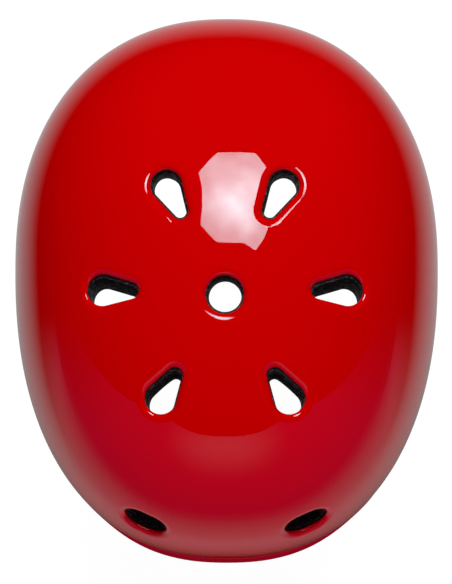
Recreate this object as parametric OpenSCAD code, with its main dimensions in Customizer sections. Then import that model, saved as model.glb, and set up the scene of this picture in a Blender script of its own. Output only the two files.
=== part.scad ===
// Open-face skate helmet: a moulded shell over a foam liner, comfort pads, and a
// webbing harness that hangs unbuckled from four riveted hangers.
// The front is -Y and the wearer's left is +X. Z is 0 at the lowest point of the rim,
// which is at the nape. Lengths are millimetres, angles degrees.
// A point of the shell is found from a bearing a (0 brow, 90 left ear, 180 nape) and a
// level h (below 0: millimetres under the belt; above 0: degrees of dome, 90 the crown).

/* [Shell] */
// Width at the belt, the widest level
shell_w = 220.6; // [216:0.2:226]
// Length at the belt from the ear line to the brow
shell_front = 152; // [148:1:156]
// Length at the belt from the ear line to the nape
shell_rear = 130; // [126:1:134]
// Height of the belt above the nape rim
belt_z = 60; // [57:1:64]
// Height of the crown above the belt
crown_h = 102; // [98:1:106]
// How far the crown lies in front of the ear line
crown_ahead = 22.4; // [20:0.2:26]
// Squareness of the plan in front, 2 is an ellipse
front_power = 2.3; // [2.2:0.05:2.4]
// Squareness of the plan behind
rear_power = 2.24; // [2.15:0.05:2.35]
// Squareness of the dome seen from the side
dome_power = 2.2; // [2.1:0.05:2.3]
// Thickness of the moulded shell
shell_t = 3; // [2.6:0.1:3.4]

/* [Rim] */
// Height of the rim at the brow
brow_z = 44; // [40:1:48]
// Height of the rim beside the ears
side_z = 12; // [10:1:14]
// Extra height of the arch over each ear
ear_arch = 8; // [4:1:10]
// How far the brow is drawn in at the rim
brow_tuck = 2; // [0:0.5:4]
// How far the sides are drawn in at the rim
side_tuck = 6; // [4:0.5:8]
// How far the nape is drawn in at the rim
nape_tuck = 12; // [8:1:16]
// How far the lip stands out at the rim
lip_out = 2.6; // [1.6:0.2:3.2]
// Height of the lip's flare
lip_h = 8; // [6:1:10]

/* [Vents] */
// Radius of the round crown vent
crown_vent_r = 9.1; // [8:0.1:10]
// Radius of a teardrop vent's wide end
drop_r = 7.6; // [7:0.1:8.4]
// Radius of a teardrop vent's tip
tip_r = 4; // [3.4:0.1:4.6]
// Distance between the centres of the two ends
drop_span = 12.4; // [11:0.1:13.5]
// Distance of the wide ends' centres from the crown vent: rear, side and front pairs
rear_drop_at = 60.4; // [58:0.2:62]
side_drop_at = 59; // [57:0.2:61]
front_drop_at = 57.8; // [56:0.2:60]
// Width of a brow or nape vent
slot_w = 22; // [20:0.5:24]
// Height of a brow or nape vent
slot_h = 17; // [15:0.5:18]
// How much smaller the vents are in the foam, all round
foam_draft = 1.2; // [0.6:0.1:1.8]
// How far the foam's front and side vents lean to the front
foam_lean = 4; // [2:0.5:5]
// Width of the rolled edge round every vent
vent_roll = 4.4; // [3:0.2:5]
// Depth of the rolled edge
vent_sink = 2.4; // [1.6:0.1:2.6]

/* [Foam liner] */
// Foam thickness at the sides and crown
foam_t = 22; // [20:0.5:24]
// Foam thickness at the brow and nape
foam_end_t = 25; // [23:0.5:27]
// Gap between shell and foam
foam_gap = 0.4; // [0.3:0.1:0.6]
// Height of the foam's lower edge above the shell's rim
foam_up = 4; // [3:0.5:6]
// Slope of the foam's lower edge, from outside to inside
foam_bevel = 4; // [2:0.5:6]
// Distance of the two air channels from the middle plane
channel_x = 32; // [30:1:34]
// Width of an air channel
channel_w = 14; // [10:1:16]
// Depth of an air channel
channel_deep = 6; // [3:0.5:8]

/* [Pads] */
// Thickness of the brow and nape pads
band_pad_t = 10; // [8:0.5:12]
// Thickness of the side and crown pads
side_pad_t = 8; // [6:0.5:10]
// Thickness of the hook patches that hold the pads
patch_t = 1; // [0.8:0.1:1.4]
// Gap that clears the curved faces on both sides of a patch
pad_gap = 0.3; // [0.3:0.05:0.4]

/* [Harness anchors] */
// How far the front rivet is ahead of the ear line
front_anchor = 36; // [34:1:38]
// How far the rear rivet is behind the ear line
rear_anchor = 37; // [34:1:38]
// Height of the rivets
rivet_z = 30; // [28:1:32]
// Radius of a rivet's head
rivet_head_r = 5; // [4.4:0.1:5.6]
// Radius of a rivet's shank
rivet_r = 2; // [1.8:0.1:2.2]
// How far the hanger bars lie inside the shell's widest point
bar_inset = 15.3; // [14.8:0.1:16]
// Height of the hanger bars
bar_z = 6; // [5:0.5:7]
// Radius of every webbing bar
bar_r = 1.5; // [1.3:0.1:1.7]
// Thickness of a hanger's plate
hanger_t = 2; // [1.6:0.1:2.2]
// Width of a hanger's plate
hanger_w = 16; // [14:0.5:18]

/* [Webbing] */
// Width of the webbing
web_w = 20; // [18:0.5:21]
// Thickness of the webbing
web_t = 1.5; // [1.2:0.1:1.6]
// Clearance between a webbing loop and its bar
loop_gap = 0.08; // [0.05:0.01:0.1]
// Depth below the hanger bars at which the two side straps meet
join_drop = 68; // [64:1:72]
// Length of the sewn overlap below that
join_len = 38; // [36:1:40]
// Depth of the socket's bar below the hanger bars
socket_drop = 130; // [126:1:134]
// Depth of the clip's bar below the hanger bars
clip_drop = 162; // [160:1:166]
// Length of a sewn-back end
sewn_len = 26; // [22:1:30]
// Length of the loose tail above the clip's bar
tail_len = 40; // [38:1:42]

/* [Divider and keeper] */
// Height of a strap divider
divider_h = 12; // [10:0.5:13]
// Wall of a strap divider
divider_wall = 1.8; // [1.4:0.1:2.2]
// Clearance between webbing and what slides on it
slide_gap = 0.25; // [0.2:0.05:0.35]
// Height of the rubber keeper
keeper_h = 6; // [5:0.5:7]
// Wall of the rubber keeper
keeper_wall = 1.4; // [1.2:0.1:1.8]

/* [Buckle] */
// Width of the socket and the clip
buckle_w = 28; // [27:0.5:30]
// Length of the socket below its bar
socket_len = 36; // [34:1:38]
// Thickness of the socket
socket_t = 9; // [8.6:0.2:10]
// Width of the mouth that the prongs enter
mouth_w = 21.6; // [21:0.2:22.4]
// Thickness of the mouth
mouth_t = 4.8; // [4.6:0.1:5.2]
// Thickness of the clip, its prongs and its guide
clip_t = 3.6; // [3.2:0.1:4]
// Length of a prong from its root to its tip
prong_len = 22; // [20:0.5:24]
// Width of a prong's arm
prong_w = 3; // [2.6:0.1:3.4]
// Distance of each prong's root from the clip's middle
prong_at = 7.4; // [7.2:0.1:7.6]
// Radius of the prong's root
root_r = 1.9; // [1.8:0.1:2]
// Clearance round the prong's root
root_gap = 0.06; // [0.05:0.01:0.1]

/* [Hidden] */

shell_red = [0.78, 0.02, 0.02];
foam_black = [0.05, 0.05, 0.055];
pad_grey = [0.16, 0.16, 0.17];
web_black = [0.08, 0.08, 0.09];
nylon_black = [0.1, 0.1, 0.11];
steel_grey = [0.72, 0.72, 0.74];

half_w = shell_w / 2;
bar_x = half_w - bar_inset;

// Bearings where the rim changes height
brow_end = 70;
brow_run = 35;
nape_start = 118;
nape_run = 32;
ear_at = 92;
ear_spread = 8;

// Bearings of the teardrop pairs from straight back, and of the brow and nape vents
rear_drop_turn = 28;
side_drop_turn = 87;
front_drop_turn = 148;
brow_vent_a = 21;
brow_vent_e = 30;
nape_vent_a = 158;
nape_vent_e = 2.5;

// Slants of the brow and nape vents, square to the surface there
brow_vent_rise = 31;
nape_vent_rise = 3;

// Reach of the vents' cutters: above the crown, and in and out from a slanted vent
above_crown = crown_h / 10;
bore_in = 2.2 * foam_end_t;
bore_out = 0.8 * foam_end_t;

// Pads: bearings of their ends, and levels of their lower and upper edges
brow_pad_a = 52;
brow_pad_low = 8;
brow_pad_top = 17;
nape_pad_a = 44;
nape_pad_low = 46;
nape_pad_top = 8;
side_pad_from = 68;
side_pad_to = 118;
side_pad_low = 8;
side_pad_top = 20;
crown_pad_out = 71.5;
crown_pad_in = 80.5;

// Air channels: heights of their rear and front ends, as angles seen from a point
// above the head opening
channel_rear = 6;
channel_front = 20;
channel_step = 14;
channel_from_y = crown_ahead / 2;

// Depths under the outer surface at the sides, the ends and the crown
shell_in = [shell_t, shell_t, shell_t];
foam_out = shell_in + foam_gap * [1, 1, 1];
foam_in = foam_out + [foam_t, foam_end_t, foam_t];
patch_out = foam_in + pad_gap * [1, 1, 1];
patch_in = patch_out + patch_t * [1, 1, 1];
pad_out = patch_in + pad_gap * [1, 1, 1];

// A webbing loop's bore and outside radius
loop_in = bar_r + loop_gap;
loop_out = loop_in + web_t;

// Mesh steps: bearings round the shell and the foam, and their levels
shell_cols = 72;
foam_cols = 60;
shell_walls = [0, 0.08, 0.18, 0.32, 0.5, 0.75];
foam_walls = [0, 0.22, 0.5, 0.75];
shell_step = 6;
foam_step = 7.5;

function smooth(x) = let (k = min(1, max(0, x))) k * k * (3 - 2 * k);
function signed_pow(v, p) = sign(v) * pow(abs(v), p);
function bearing(a) = abs((a + 540) % 360 - 180);

// Height of the rim at a bearing
function rim_z(a) = let (s = bearing(a))
    side_z + (brow_z - side_z) * smooth((brow_end - s) / brow_run)
    - side_z * smooth((s - nape_start) / nape_run)
    + ear_arch * exp(-pow((s - ear_at) / ear_spread, 2));

// Plan outline at the belt, drawn in by the depth d
function plan(a, d) = let (
    c = cos(a),
    p = 2 / (c > 0 ? front_power : rear_power),
    reach = c > 0 ? shell_front : shell_rear)
    [(half_w - d[0]) * signed_pow(sin(a), p), -(reach - d[1]) * signed_pow(c, p)];

function tuck(a) = let (c = cos(a))
    side_tuck + ((c > 0 ? brow_tuck : nape_tuck) - side_tuck) * c * c;

function flare(a, z) =
    lip_out * pow(min(1, max(0, (rim_z(a) + lip_h - z) / lip_h)), 2);

// Point on the surface at bearing a and level h, at depth d, with or without the lip
function surf(a, h, d, lip = 0) = h > 0
    ? let (
        r = pow(cos(min(h, 90)), 2 / dome_power),
        p = plan(a, d) * r)
        [p[0], p[1] - crown_ahead * (1 - r * r),
         belt_z + (crown_h - d[2]) * pow(sin(min(h, 90)), 2 / dome_power)]
    : let (
        z = belt_z + h,
        drawn = tuck(a) * pow(h / belt_z, 2) - lip * flare(a, z),
        p = plan(a, d + drawn * [1, 1, 0]))
        [p[0], p[1], z];

// Level of the fraction v of the wall between the lower edge and the belt
function wall_h(a, v, up) = -(belt_z - rim_z(a) - up) * (1 - pow(v, 1.4));

function bowl_ring(cols, v, up, d, lip) =
    [for (i = [0:cols - 1]) let (a = 360 * i / cols) surf(a, wall_h(a, v, up), d, lip)];
function dome_ring(cols, e, d) = [for (i = [0:cols - 1]) surf(360 * i / cols, e, d)];

function quad(a, b, c, d) = [[a, b, c], [a, c, d]];
function joined(lists) = [for (l = lists) for (x = l) x];

// Whether a point lies outside the dome at depth d
function outside(p, d) = let (
    up = min(1, max(0, (p[2] - belt_z) / (crown_h - d[2]))),
    r = pow(1 - pow(up, dome_power), 1 / dome_power),
    v = p[1] + crown_ahead * (1 - r * r),
    power = v < 0 ? front_power : rear_power,
    reach = v < 0 ? shell_front : shell_rear)
    pow(abs(p[0]) / (half_w - d[0]), power) + pow(abs(v) / (reach - d[1]), power)
    > pow(r, power);

// Where the line from p along n, between two distances, leaves the dome at depth d
function leaves(p, n, d, from, to, k = 18) = let (t = (from + to) / 2)
    k == 0 ? p + t * n
    : outside(p + t * n, d) ? leaves(p, n, d, from, t, k - 1)
    : leaves(p, n, d, t, to, k - 1);

// Triangles between ring k and ring m of a list of rings with n points each
function band(k, m, n) = joined([for (i = [0:n - 1])
    quad(k * n + i, k * n + (i + 1) % n, m * n + (i + 1) % n, m * n + i)]);

// A bowl between two depths: outer rings up to a pole, inner rings and their pole
module bowl(cols, walls, step, outer, inner, up_out, up_in, lip) {
    domes = [for (e = [step:step:90 - step / 2]) e];
    rows = len(walls) + 1 + len(domes);
    up_side = joined([
        joined([for (v = walls) bowl_ring(cols, v, up_out, outer, lip)]),
        bowl_ring(cols, 1, up_out, outer, lip),
        joined([for (e = domes) dome_ring(cols, e, outer)])]);
    down_side = joined([
        joined([for (v = walls) bowl_ring(cols, v, up_in, inner, lip)]),
        bowl_ring(cols, 1, up_in, inner, lip),
        joined([for (e = domes) dome_ring(cols, e, inner)])]);
    poles = [surf(0, 90, outer), surf(0, 90, inner)];
    n = rows * cols;
    outer_faces = joined([for (k = [0:rows - 2]) band(k, k + 1, cols)]);
    inner_faces = joined([for (k = [0:rows - 2]) band(rows + k + 1, rows + k, cols)]);
    caps = joined([for (i = [0:cols - 1]) [
        [(rows - 1) * cols + i, (rows - 1) * cols + (i + 1) % cols, 2 * n],
        [(2 * rows - 1) * cols + (i + 1) % cols, (2 * rows - 1) * cols + i, 2 * n + 1]]]);
    edge = band(rows, 0, cols);
    polyhedron(concat(up_side, down_side, poles),
               [for (f = concat(outer_faces, inner_faces, caps, edge)) [f[2], f[1], f[0]]]);
}

// A solid through a list of rings of n points, closed by a fan at each end
module skin(rings) {
    n = len(rings[0]);
    m = len(rings);
    ends = [for (r = [rings[0], rings[m - 1]]) [for (i = [1:n]) 1 / n] * r];
    faces = concat(
        joined([for (k = [0:m - 2]) band(k, k + 1, n)]),
        [for (i = [0:n - 1]) [(i + 1) % n, i, m * n]],
        [for (i = [0:n - 1]) [(m - 1) * n + i, (m - 1) * n + (i + 1) % n, m * n + 1]]);
    polyhedron(concat(joined(rings), ends), [for (f = faces) [f[2], f[1], f[0]]]);
}

// Flat shapes, all arcs true circles
module rounded(w, h, r) {
    square([w - 2 * r, h], center = true);
    square([w, h - 2 * r], center = true);
    for (x = [-1, 1], y = [-1, 1])
        translate([x * (w / 2 - r), y * (h / 2 - r)]) circle(r, $fn = 32);
}

module teardrop(wide, tip, span) {
    lean = asin((wide - tip) / span);
    n = [-sin(lean), cos(lean)];
    m = [-sin(lean), -cos(lean)];
    circle(wide, $fn = 64);
    translate([-span, 0]) circle(tip, $fn = 48);
    polygon([wide * n, [-span, 0] + tip * n, [-span, 0] + tip * m, wide * m]);
}

module oval(w, h) {
    square([w - h, h], center = true);
    for (x = [-1, 1]) translate([x * (w - h) / 2, 0]) circle(h / 2, $fn = 48);
}

// The same outlines as points
function arc(r, from, to, steps, at = 0) =
    [for (i = [0:steps]) let (t = from + (to - from) * i / steps) [at + r * cos(t), r * sin(t)]];
function teardrop_points(wide, tip, span) = let (half = 90 + asin((wide - tip) / span))
    concat(arc(wide, -half, half, 20), arc(tip, half, 360 - half, 10, -span));
function oval_points(w, h) =
    concat(arc(h / 2, -90, 90, 14, (w - h) / 2), arc(h / 2, 90, 270, 14, (h - w) / 2));

// Rolls the shell's outer edge round a vent that is bored along n, with u and v across
// it. The outline is a function of how much wider the vent is made all round.
module rolled_edge(base, u, v, n, reach, outline) {
    overrun = 0.14;
    steps = [[-overrun * tan(22.5), 1 + overrun], [1 - cos(45), 1 - sin(45)], [1, 0], [1, -0.5]];
    skin([for (step = steps) [for (q = outline(step[0] * vent_roll))
        leaves(base + q[0] * u + q[1] * v, n, step[1] * vent_sink * [1, 1, 1], 0, reach)]]);
}

// The bearing of each upright vent pair, its distance from the crown vent and its lean
drops = [[rear_drop_turn, rear_drop_at, 0],
         [side_drop_turn, side_drop_at, 1],
         [front_drop_turn, front_drop_at, 1]];

// The seven crown vents as upright prisms, made smaller by draft, leaning by lean
module crown_vents(draft, lean) {
    translate([0, -crown_ahead, belt_z])
        cylinder(h = crown_h + above_crown, r = crown_vent_r - draft, $fn = 64);
    for (s = [-1, 1], d = drops)
        translate([0, -crown_ahead - lean * d[2], belt_z]) rotate(90 - s * d[0])
            translate([d[1], 0]) linear_extrude(crown_h + above_crown)
                teardrop(drop_r - draft, tip_r - draft, drop_span);
}
module crown_rolls() {
    middle = [0, -crown_ahead, belt_z];
    rolled_edge(middle, [1, 0, 0], [0, 1, 0], [0, 0, 1], crown_h + above_crown,
                function (o) arc(crown_vent_r + o, 0, 350, 35));
    for (s = [-1, 1], d = drops) {
        u = [cos(90 - s * d[0]), sin(90 - s * d[0]), 0];
        rolled_edge(middle + d[1] * u, u, [-u[1], u[0], 0], [0, 0, 1], crown_h + above_crown,
                    function (o) teardrop_points(drop_r + o, tip_r + o, drop_span));
    }
}

// A slanted vent, bored square to the surface at bearing a and level e
module slanted_vent(a, e, rise, draft) {
    translate(surf(a, e, [0, 0, 0])) rotate([0, 0, a - 90])
        rotate([0, -rise, 0]) translate([-bore_in, 0, 0]) rotate([90, 0, 90])
            linear_extrude(bore_in + bore_out) oval(slot_w - 2 * draft, slot_h - 2 * draft);
}
module slanted_roll(a, e, rise) {
    u = [cos(a), sin(a), 0];
    n = [cos(rise) * sin(a), -cos(rise) * cos(a), sin(rise)];
    rolled_edge(surf(a, e, [0, 0, 0]) - bore_out * n, u, cross(n, u), n, 2 * bore_out,
                function (o) oval_points(slot_w + 2 * o, slot_h + 2 * o));
}

module slanted_vents(draft) {
    for (s = [-1, 1]) {
        slanted_vent(s * brow_vent_a, brow_vent_e, brow_vent_rise, draft);
        slanted_vent(s * nape_vent_a, nape_vent_e, nape_vent_rise, draft);
    }
}
module slanted_rolls() {
    for (s = [-1, 1]) {
        slanted_roll(s * brow_vent_a, brow_vent_e, brow_vent_rise);
        slanted_roll(s * nape_vent_a, nape_vent_e, nape_vent_rise);
    }
}

// Bearing of a point y on the belt, and the place and slant of the wall at an anchor
function bearing_at(y) = y < 0
    ? acos(pow(-y / shell_front, front_power / 2))
    : 180 - acos(pow(y / shell_rear, rear_power / 2));
function wall_turn(a, h) = let (p = surf(a - 2, h, shell_in), q = surf(a + 2, h, shell_in))
    atan2(q[1] - p[1], q[0] - p[0]) - 90;
function wall_lean(a, h) = let (p = surf(a, h - 3, shell_in), q = surf(a, h + 3, shell_in))
    atan2(norm([q[0] - p[0], q[1] - p[1]]), q[2] - p[2]);

module at_anchor(y) {
    a = bearing_at(y);
    h = rivet_z - belt_z;
    translate(surf(a, h, shell_in)) rotate([0, 0, wall_turn(a, h)])
        rotate([0, wall_lean(a, h), 0]) children();
}

module on_side(left) {
    if (left) children();
    else mirror([1, 0, 0]) children();
}

module all_anchors() {
    for (left = [true, false], y = [-front_anchor, rear_anchor])
        on_side(left) at_anchor(y) children();
}

// Shell and foam
module outer_shell() {
    color(shell_red) difference() {
        bowl(shell_cols, shell_walls, shell_step, [0, 0, 0], shell_in, 0, 0, 1);
        crown_vents(0, 0);
        crown_rolls();
        slanted_vents(0);
        slanted_rolls();
        all_anchors() rotate([0, 90, 0])
            cylinder(h = 4 * shell_t, r = rivet_r + loop_gap, center = true, $fn = 32);
    }
}

// A channel moulded into the foam's inner face, over the head from brow to nape,
// through the front and rear vents on its side
module air_channel(s) {
    skin([for (t = [180 - channel_rear:-channel_step:channel_front])
        [for (c = [0:30:180]) leaves(
            [s * channel_x + cos(c) * channel_w / 2, -channel_from_y, belt_z],
            [0, -cos(t), sin(t)],
            foam_in - (channel_deep * sin(c) - 1) * [1, 1, 1], 0, shell_front)]]);
}

// The pocket behind an anchor, for the hanger's plate and legs
module hanger_pocket() {
    translate([-pocket_deep, -pocket_w / 2, -pocket_down])
        cube([pocket_deep + shell_t, pocket_w, pocket_down + pocket_up]);
}

module foam_liner() {
    color(foam_black) difference() {
        bowl(foam_cols, foam_walls, foam_step, foam_out, foam_in,
             foam_up, foam_up + foam_bevel, 0);
        crown_vents(foam_draft, foam_lean);
        slanted_vents(foam_draft);
        for (s = [-1, 1]) air_channel(s);
        all_anchors() hanger_pocket();
    }
}

// Pads: each follows the foam between two bearings and two levels, crowned towards
// the head, with its ends rounded and sewn channels across it
function end_round(u) = 0.45 + 0.55 * pow(1 - pow(abs(2 * u - 1), 5), 0.5);
function pad_crown(u, w) =
    (1 - pow(abs(2 * u - 1), 8)) * (1 - pow(abs(2 * w - 1), 4));
function channel(u, n) = n == 0 ? 1 : 1 - 0.4 * pow(cos(180 * n * u), 24);

module pad(a0, a1, h0, h1, t, cols, rows, channels) {
    mid = (h0 + h1) / 2;
    points = [for (side = [0, 1], i = [0:cols], j = [0:rows]) let (
        u = i / cols,
        w = j / rows,
        h = mid + (h1 - h0) * (w - 0.5) * end_round(u),
        puff = 0.35 + 0.65 * pad_crown(u, w) * channel(u, channels),
        deep = side * t * puff)
        surf(a0 + (a1 - a0) * u, h, pad_out + deep * [1, 1, 1])];
    solid_grid(points, cols, rows);
}

// Closes two grids of points, one behind the other, into a solid
module solid_grid(points, cols, rows) {
    n = (cols + 1) * (rows + 1);
    r = rows + 1;
    near = joined([for (i = [0:cols - 1], j = [0:rows - 1])
        quad(i * r + j, i * r + j + 1, (i + 1) * r + j + 1, (i + 1) * r + j)]);
    far = [for (f = near) [f[2] + n, f[1] + n, f[0] + n]];
    low = joined([for (i = [0:cols - 1])
        quad(i * r, (i + 1) * r, (i + 1) * r + n, i * r + n)]);
    high = joined([for (i = [0:cols - 1])
        quad((i + 1) * r + rows, i * r + rows, i * r + rows + n, (i + 1) * r + rows + n)]);
    start = joined([for (j = [0:rows - 1]) quad(j + 1, j, j + n, j + 1 + n)]);
    stop = joined([for (j = [0:rows - 1])
        let (k = cols * r + j) quad(k, k + 1, k + 1 + n, k + n)]);
    polyhedron(points, concat(near, far, low, high, start, stop));
}

module patch(a, h, da, dh) {
    points = [for (side = [0, 1], i = [-1:1], j = [-1:1])
        surf(a + da * i, h + dh * j, side == 0 ? patch_out : patch_in)];
    solid_grid(points, 2, 2);
}

module brow_pad() {
    color(pad_grey) pad(-brow_pad_a, brow_pad_a, -brow_pad_low, brow_pad_top,
                        band_pad_t, 32, 7, 5);
}
module nape_pad() {
    color(pad_grey) pad(180 - nape_pad_a, 180 + nape_pad_a, -nape_pad_low, -nape_pad_top,
                        band_pad_t, 28, 7, 4);
}
module side_pad() {
    pad(side_pad_from, side_pad_to, -side_pad_low, side_pad_top, side_pad_t, 18, 7, 2);
}
module left_side_pad() {
    color(pad_grey) side_pad();
}
module right_side_pad() {
    color(pad_grey) mirror([1, 0, 0]) side_pad();
}

// The crown pad is a ring round the crown vent, in six puffs
module crown_pad() {
    cols = 48;
    rows = 5;
    points = [for (side = [0, 1], j = [0:rows], i = [0:cols - 1]) let (
        a = 360 * i / cols,
        w = j / rows,
        puff = 0.4 + 0.6 * (1 - pow(abs(2 * w - 1), 3)) * (1 - 0.35 * pow(cos(3 * a), 12)),
        deep = side * side_pad_t * puff)
        surf(a, crown_pad_out + (crown_pad_in - crown_pad_out) * w, pad_out + deep * [1, 1, 1])];
    n = rows + 1;
    faces = concat(
        joined([for (j = [0:rows - 1]) band(j + 1, j, cols)]),
        joined([for (j = [0:rows - 1]) band(n + j, n + j + 1, cols)]),
        band(0, n, cols),
        band(2 * n - 1, n - 1, cols));
    color(pad_grey) polyhedron(points, [for (f = faces) [f[2], f[1], f[0]]]);
}

// Each patch lies behind a pad: in the middle of its height, away from the channels
module hook_patches() {
    color(web_black) {
        for (a = [-1, 0, 1] * brow_pad_a * 0.65)
            patch(a, (brow_pad_top - brow_pad_low) / 2, 6, 5);
        for (a = [-1, 1] * nape_pad_a * 0.6)
            patch(180 + a, -(nape_pad_low + nape_pad_top) / 2, 7, nape_pad_low / 5);
        for (s = [-1, 1], part = [0.24, 0.76])
            patch(s * (side_pad_from + (side_pad_to - side_pad_from) * part),
                  (side_pad_top - side_pad_low) / 2, 5, 5);
        for (a = [45:90:315]) patch(a, (crown_pad_in + crown_pad_out) / 2, 13, 2.4);
    }
}

// Rivets, in the anchor's own axes: X points out through the shell
rivet_head_h = 1.6;
clinch_r = 3.2;
clinch_h = 0.8;
washer_r = 4.6;
washer_t = 0.8;
plate_gap = 0.8;
shank_gap = 0.05;
module rivet() {
    tail = plate_gap + hanger_t + washer_t;
    rotate([0, 90, 0]) {
        translate([0, 0, shell_t + shank_gap]) intersection() {
            cylinder(h = rivet_head_h, r = rivet_head_r, $fn = 48);
            translate([0, 0, rivet_head_h - 2 * rivet_head_r]) sphere(2 * rivet_head_r, $fn = 64);
        }
        translate([0, 0, -tail])
            cylinder(h = tail + shell_t + rivet_head_h / 4, r = rivet_r, $fn = 32);
        translate([0, 0, -tail - clinch_h]) cylinder(h = clinch_h, r = clinch_r, $fn = 32);
    }
}
module strap_rivets() {
    color(steel_grey) all_anchors() rivet();
}
module rivet_washers() {
    color(steel_grey) all_anchors() rotate([0, 90, 0])
        translate([0, 0, -plate_gap - hanger_t - washer_t]) difference() {
            cylinder(h = washer_t, r = washer_r, $fn = 48);
            cylinder(h = 4 * washer_t, r = rivet_r + shank_gap, center = true, $fn = 32);
        }
}

// A nylon hanger: a riveted plate, two legs and the bar that the webbing loops round
hanger_gap = web_w + 1;
cheek_t = 2.4;
cheek_r = 2.6;
plate_up = 7;
plate_down = 12;
plate_r = 3;
leg_root = 3;
leg_step = 0.4;
knee_up = 7;
knee_out = 0.4;
knee_r = 1.8;
pocket_w = hanger_gap + 2 * cheek_t + 4.2;
pocket_deep = 11;
pocket_up = 2 * plate_up;
pocket_down = 2.5 * plate_down;
module on_bar_line(y, s) {
    translate([bar_x, y + s * (hanger_gap + cheek_t) / 2, bar_z]) children();
}
module cheek(r) {
    rotate([90, 0, 0]) cylinder(h = cheek_t, r = r, center = true, $fn = 32);
}
module hanger(y) {
    at_anchor(y) difference() {
        translate([-plate_gap - hanger_t, 0, (plate_up - plate_down) / 2])
            rotate([90, 0, 90]) linear_extrude(hanger_t)
                rounded(hanger_w, plate_up + plate_down, plate_r);
        rotate([0, 90, 0])
            cylinder(h = 8 * hanger_t, r = rivet_r + shank_gap, center = true, $fn = 32);
    }
    for (s = [-1, 1]) {
        hull() {
            at_anchor(y) translate([-plate_gap - hanger_t / 2 - leg_step / 2,
                                    s * (hanger_w - cheek_t) / 2, leg_root * 1.5 - plate_down])
                cube([hanger_t - leg_step, cheek_t, leg_root], center = true);
            on_bar_line(y, s) translate([knee_out, 0, knee_up]) cheek(knee_r);
        }
        hull() {
            on_bar_line(y, s) translate([knee_out, 0, knee_up]) cheek(knee_r);
            on_bar_line(y, s) cheek(cheek_r);
        }
    }
    translate([bar_x, y, bar_z]) rotate([90, 0, 0])
        cylinder(h = hanger_gap + cheek_t, r = bar_r, center = true, $fn = 32);
}
module left_front_hanger() {
    color(nylon_black) hanger(-front_anchor);
}
module left_rear_hanger() {
    color(nylon_black) hanger(rear_anchor);
}
module right_front_hanger() {
    color(nylon_black) mirror([1, 0, 0]) hanger(-front_anchor);
}
module right_rear_hanger() {
    color(nylon_black) mirror([1, 0, 0]) hanger(rear_anchor);
}

// Webbing hangs in the plane x = bar_x. In these modules X is measured from there,
// outwards, and Z downwards levels are measured from the hanger bars.
join_y = (rear_anchor - front_anchor) / 2;
straight = 9;
neck = 6.5;
module from_bar(drop = 0, y = 0) {
    translate([bar_x, y, bar_z - drop]) children();
}

// The loop round a bar, drawn in to two layers, seen along the bar and made web_w wide
module web_loop(way) {
    rotate([90, 0, 0]) linear_extrude(web_w, center = true) difference() {
        union() {
            circle(loop_out, $fn = 48);
            polygon([[-loop_out, 0], [loop_out, 0], [web_t, -way * neck], [-web_t, -way * neck]]);
        }
        circle(loop_in, $fn = 48);
    }
}

// One layer of webbing along a list of [y, drop] middles, from x0 to x0 + web_t
module web_layer(x0, path) {
    edge = [for (p = path) [p[0] - web_w / 2, -p[1]]];
    back = [for (i = [len(path) - 1:-1:0]) [path[i][0] + web_w / 2, -path[i][1]]];
    translate([x0, 0, 0]) rotate([90, 0, 90]) linear_extrude(web_t) polygon(concat(edge, back));
}

function along(y0, drop) = y0 + (join_y - y0) * (drop - straight) / (join_drop - straight);

// A side strap from its hanger bar to the join, and on for a length below it
module side_strap(y0, outer, below) {
    main_x = outer ? 0 : -web_t;
    tail_x = outer ? -web_t : 0;
    from_bar(0, y0) web_loop(1);
    from_bar() {
        web_layer(main_x, [[y0, neck], [y0, straight],
                           [join_y, join_drop], [join_y, join_drop + below]]);
        web_layer(tail_x, [[y0, neck], [y0, straight], [along(y0, sewn_len), sewn_len]]);
    }
}

module left_front_strap() {
    color(web_black) {
        side_strap(-front_anchor, true, socket_drop - join_drop - neck);
        from_bar(socket_drop, join_y) web_loop(-1);
        from_bar() web_layer(-web_t, [[join_y, socket_drop - sewn_len / 2 - neck],
                                      [join_y, socket_drop - neck]]);
    }
}
module left_rear_strap() {
    color(web_black) side_strap(rear_anchor, false, join_len);
}
module right_front_strap() {
    color(web_black) mirror([1, 0, 0]) side_strap(-front_anchor, true, join_len);
}
module right_rear_strap() {
    color(web_black) mirror([1, 0, 0]) side_strap(rear_anchor, false, join_len);
}

// The adjustable stretch below the right join, and the fold and tail at the clip
clip_x = loop_out - web_t;
module right_chin_strap() {
    color(web_black) mirror([1, 0, 0]) from_bar()
        web_layer(-web_t, [[join_y, join_drop + join_len], [join_y, clip_drop]]);
}
fold = 9;
module strap_tail() {
    color(web_black) mirror([1, 0, 0]) {
        from_bar(clip_drop, join_y) translate([clip_x, 0, 0]) rotate([90, 0, 0])
            linear_extrude(web_w, center = true) difference() {
                circle(loop_out, $fn = 48);
                circle(loop_in, $fn = 48);
                translate([-2 * loop_out, 0]) square([4 * loop_out, 2 * loop_out]);
            }
        from_bar() {
            web_layer(clip_x + loop_in, [[join_y, clip_drop - tail_len], [join_y, clip_drop]]);
            web_layer(clip_x + loop_out, [[join_y, clip_drop - tail_len],
                                          [join_y, clip_drop - tail_len + fold]]);
        }
    }
}

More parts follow.
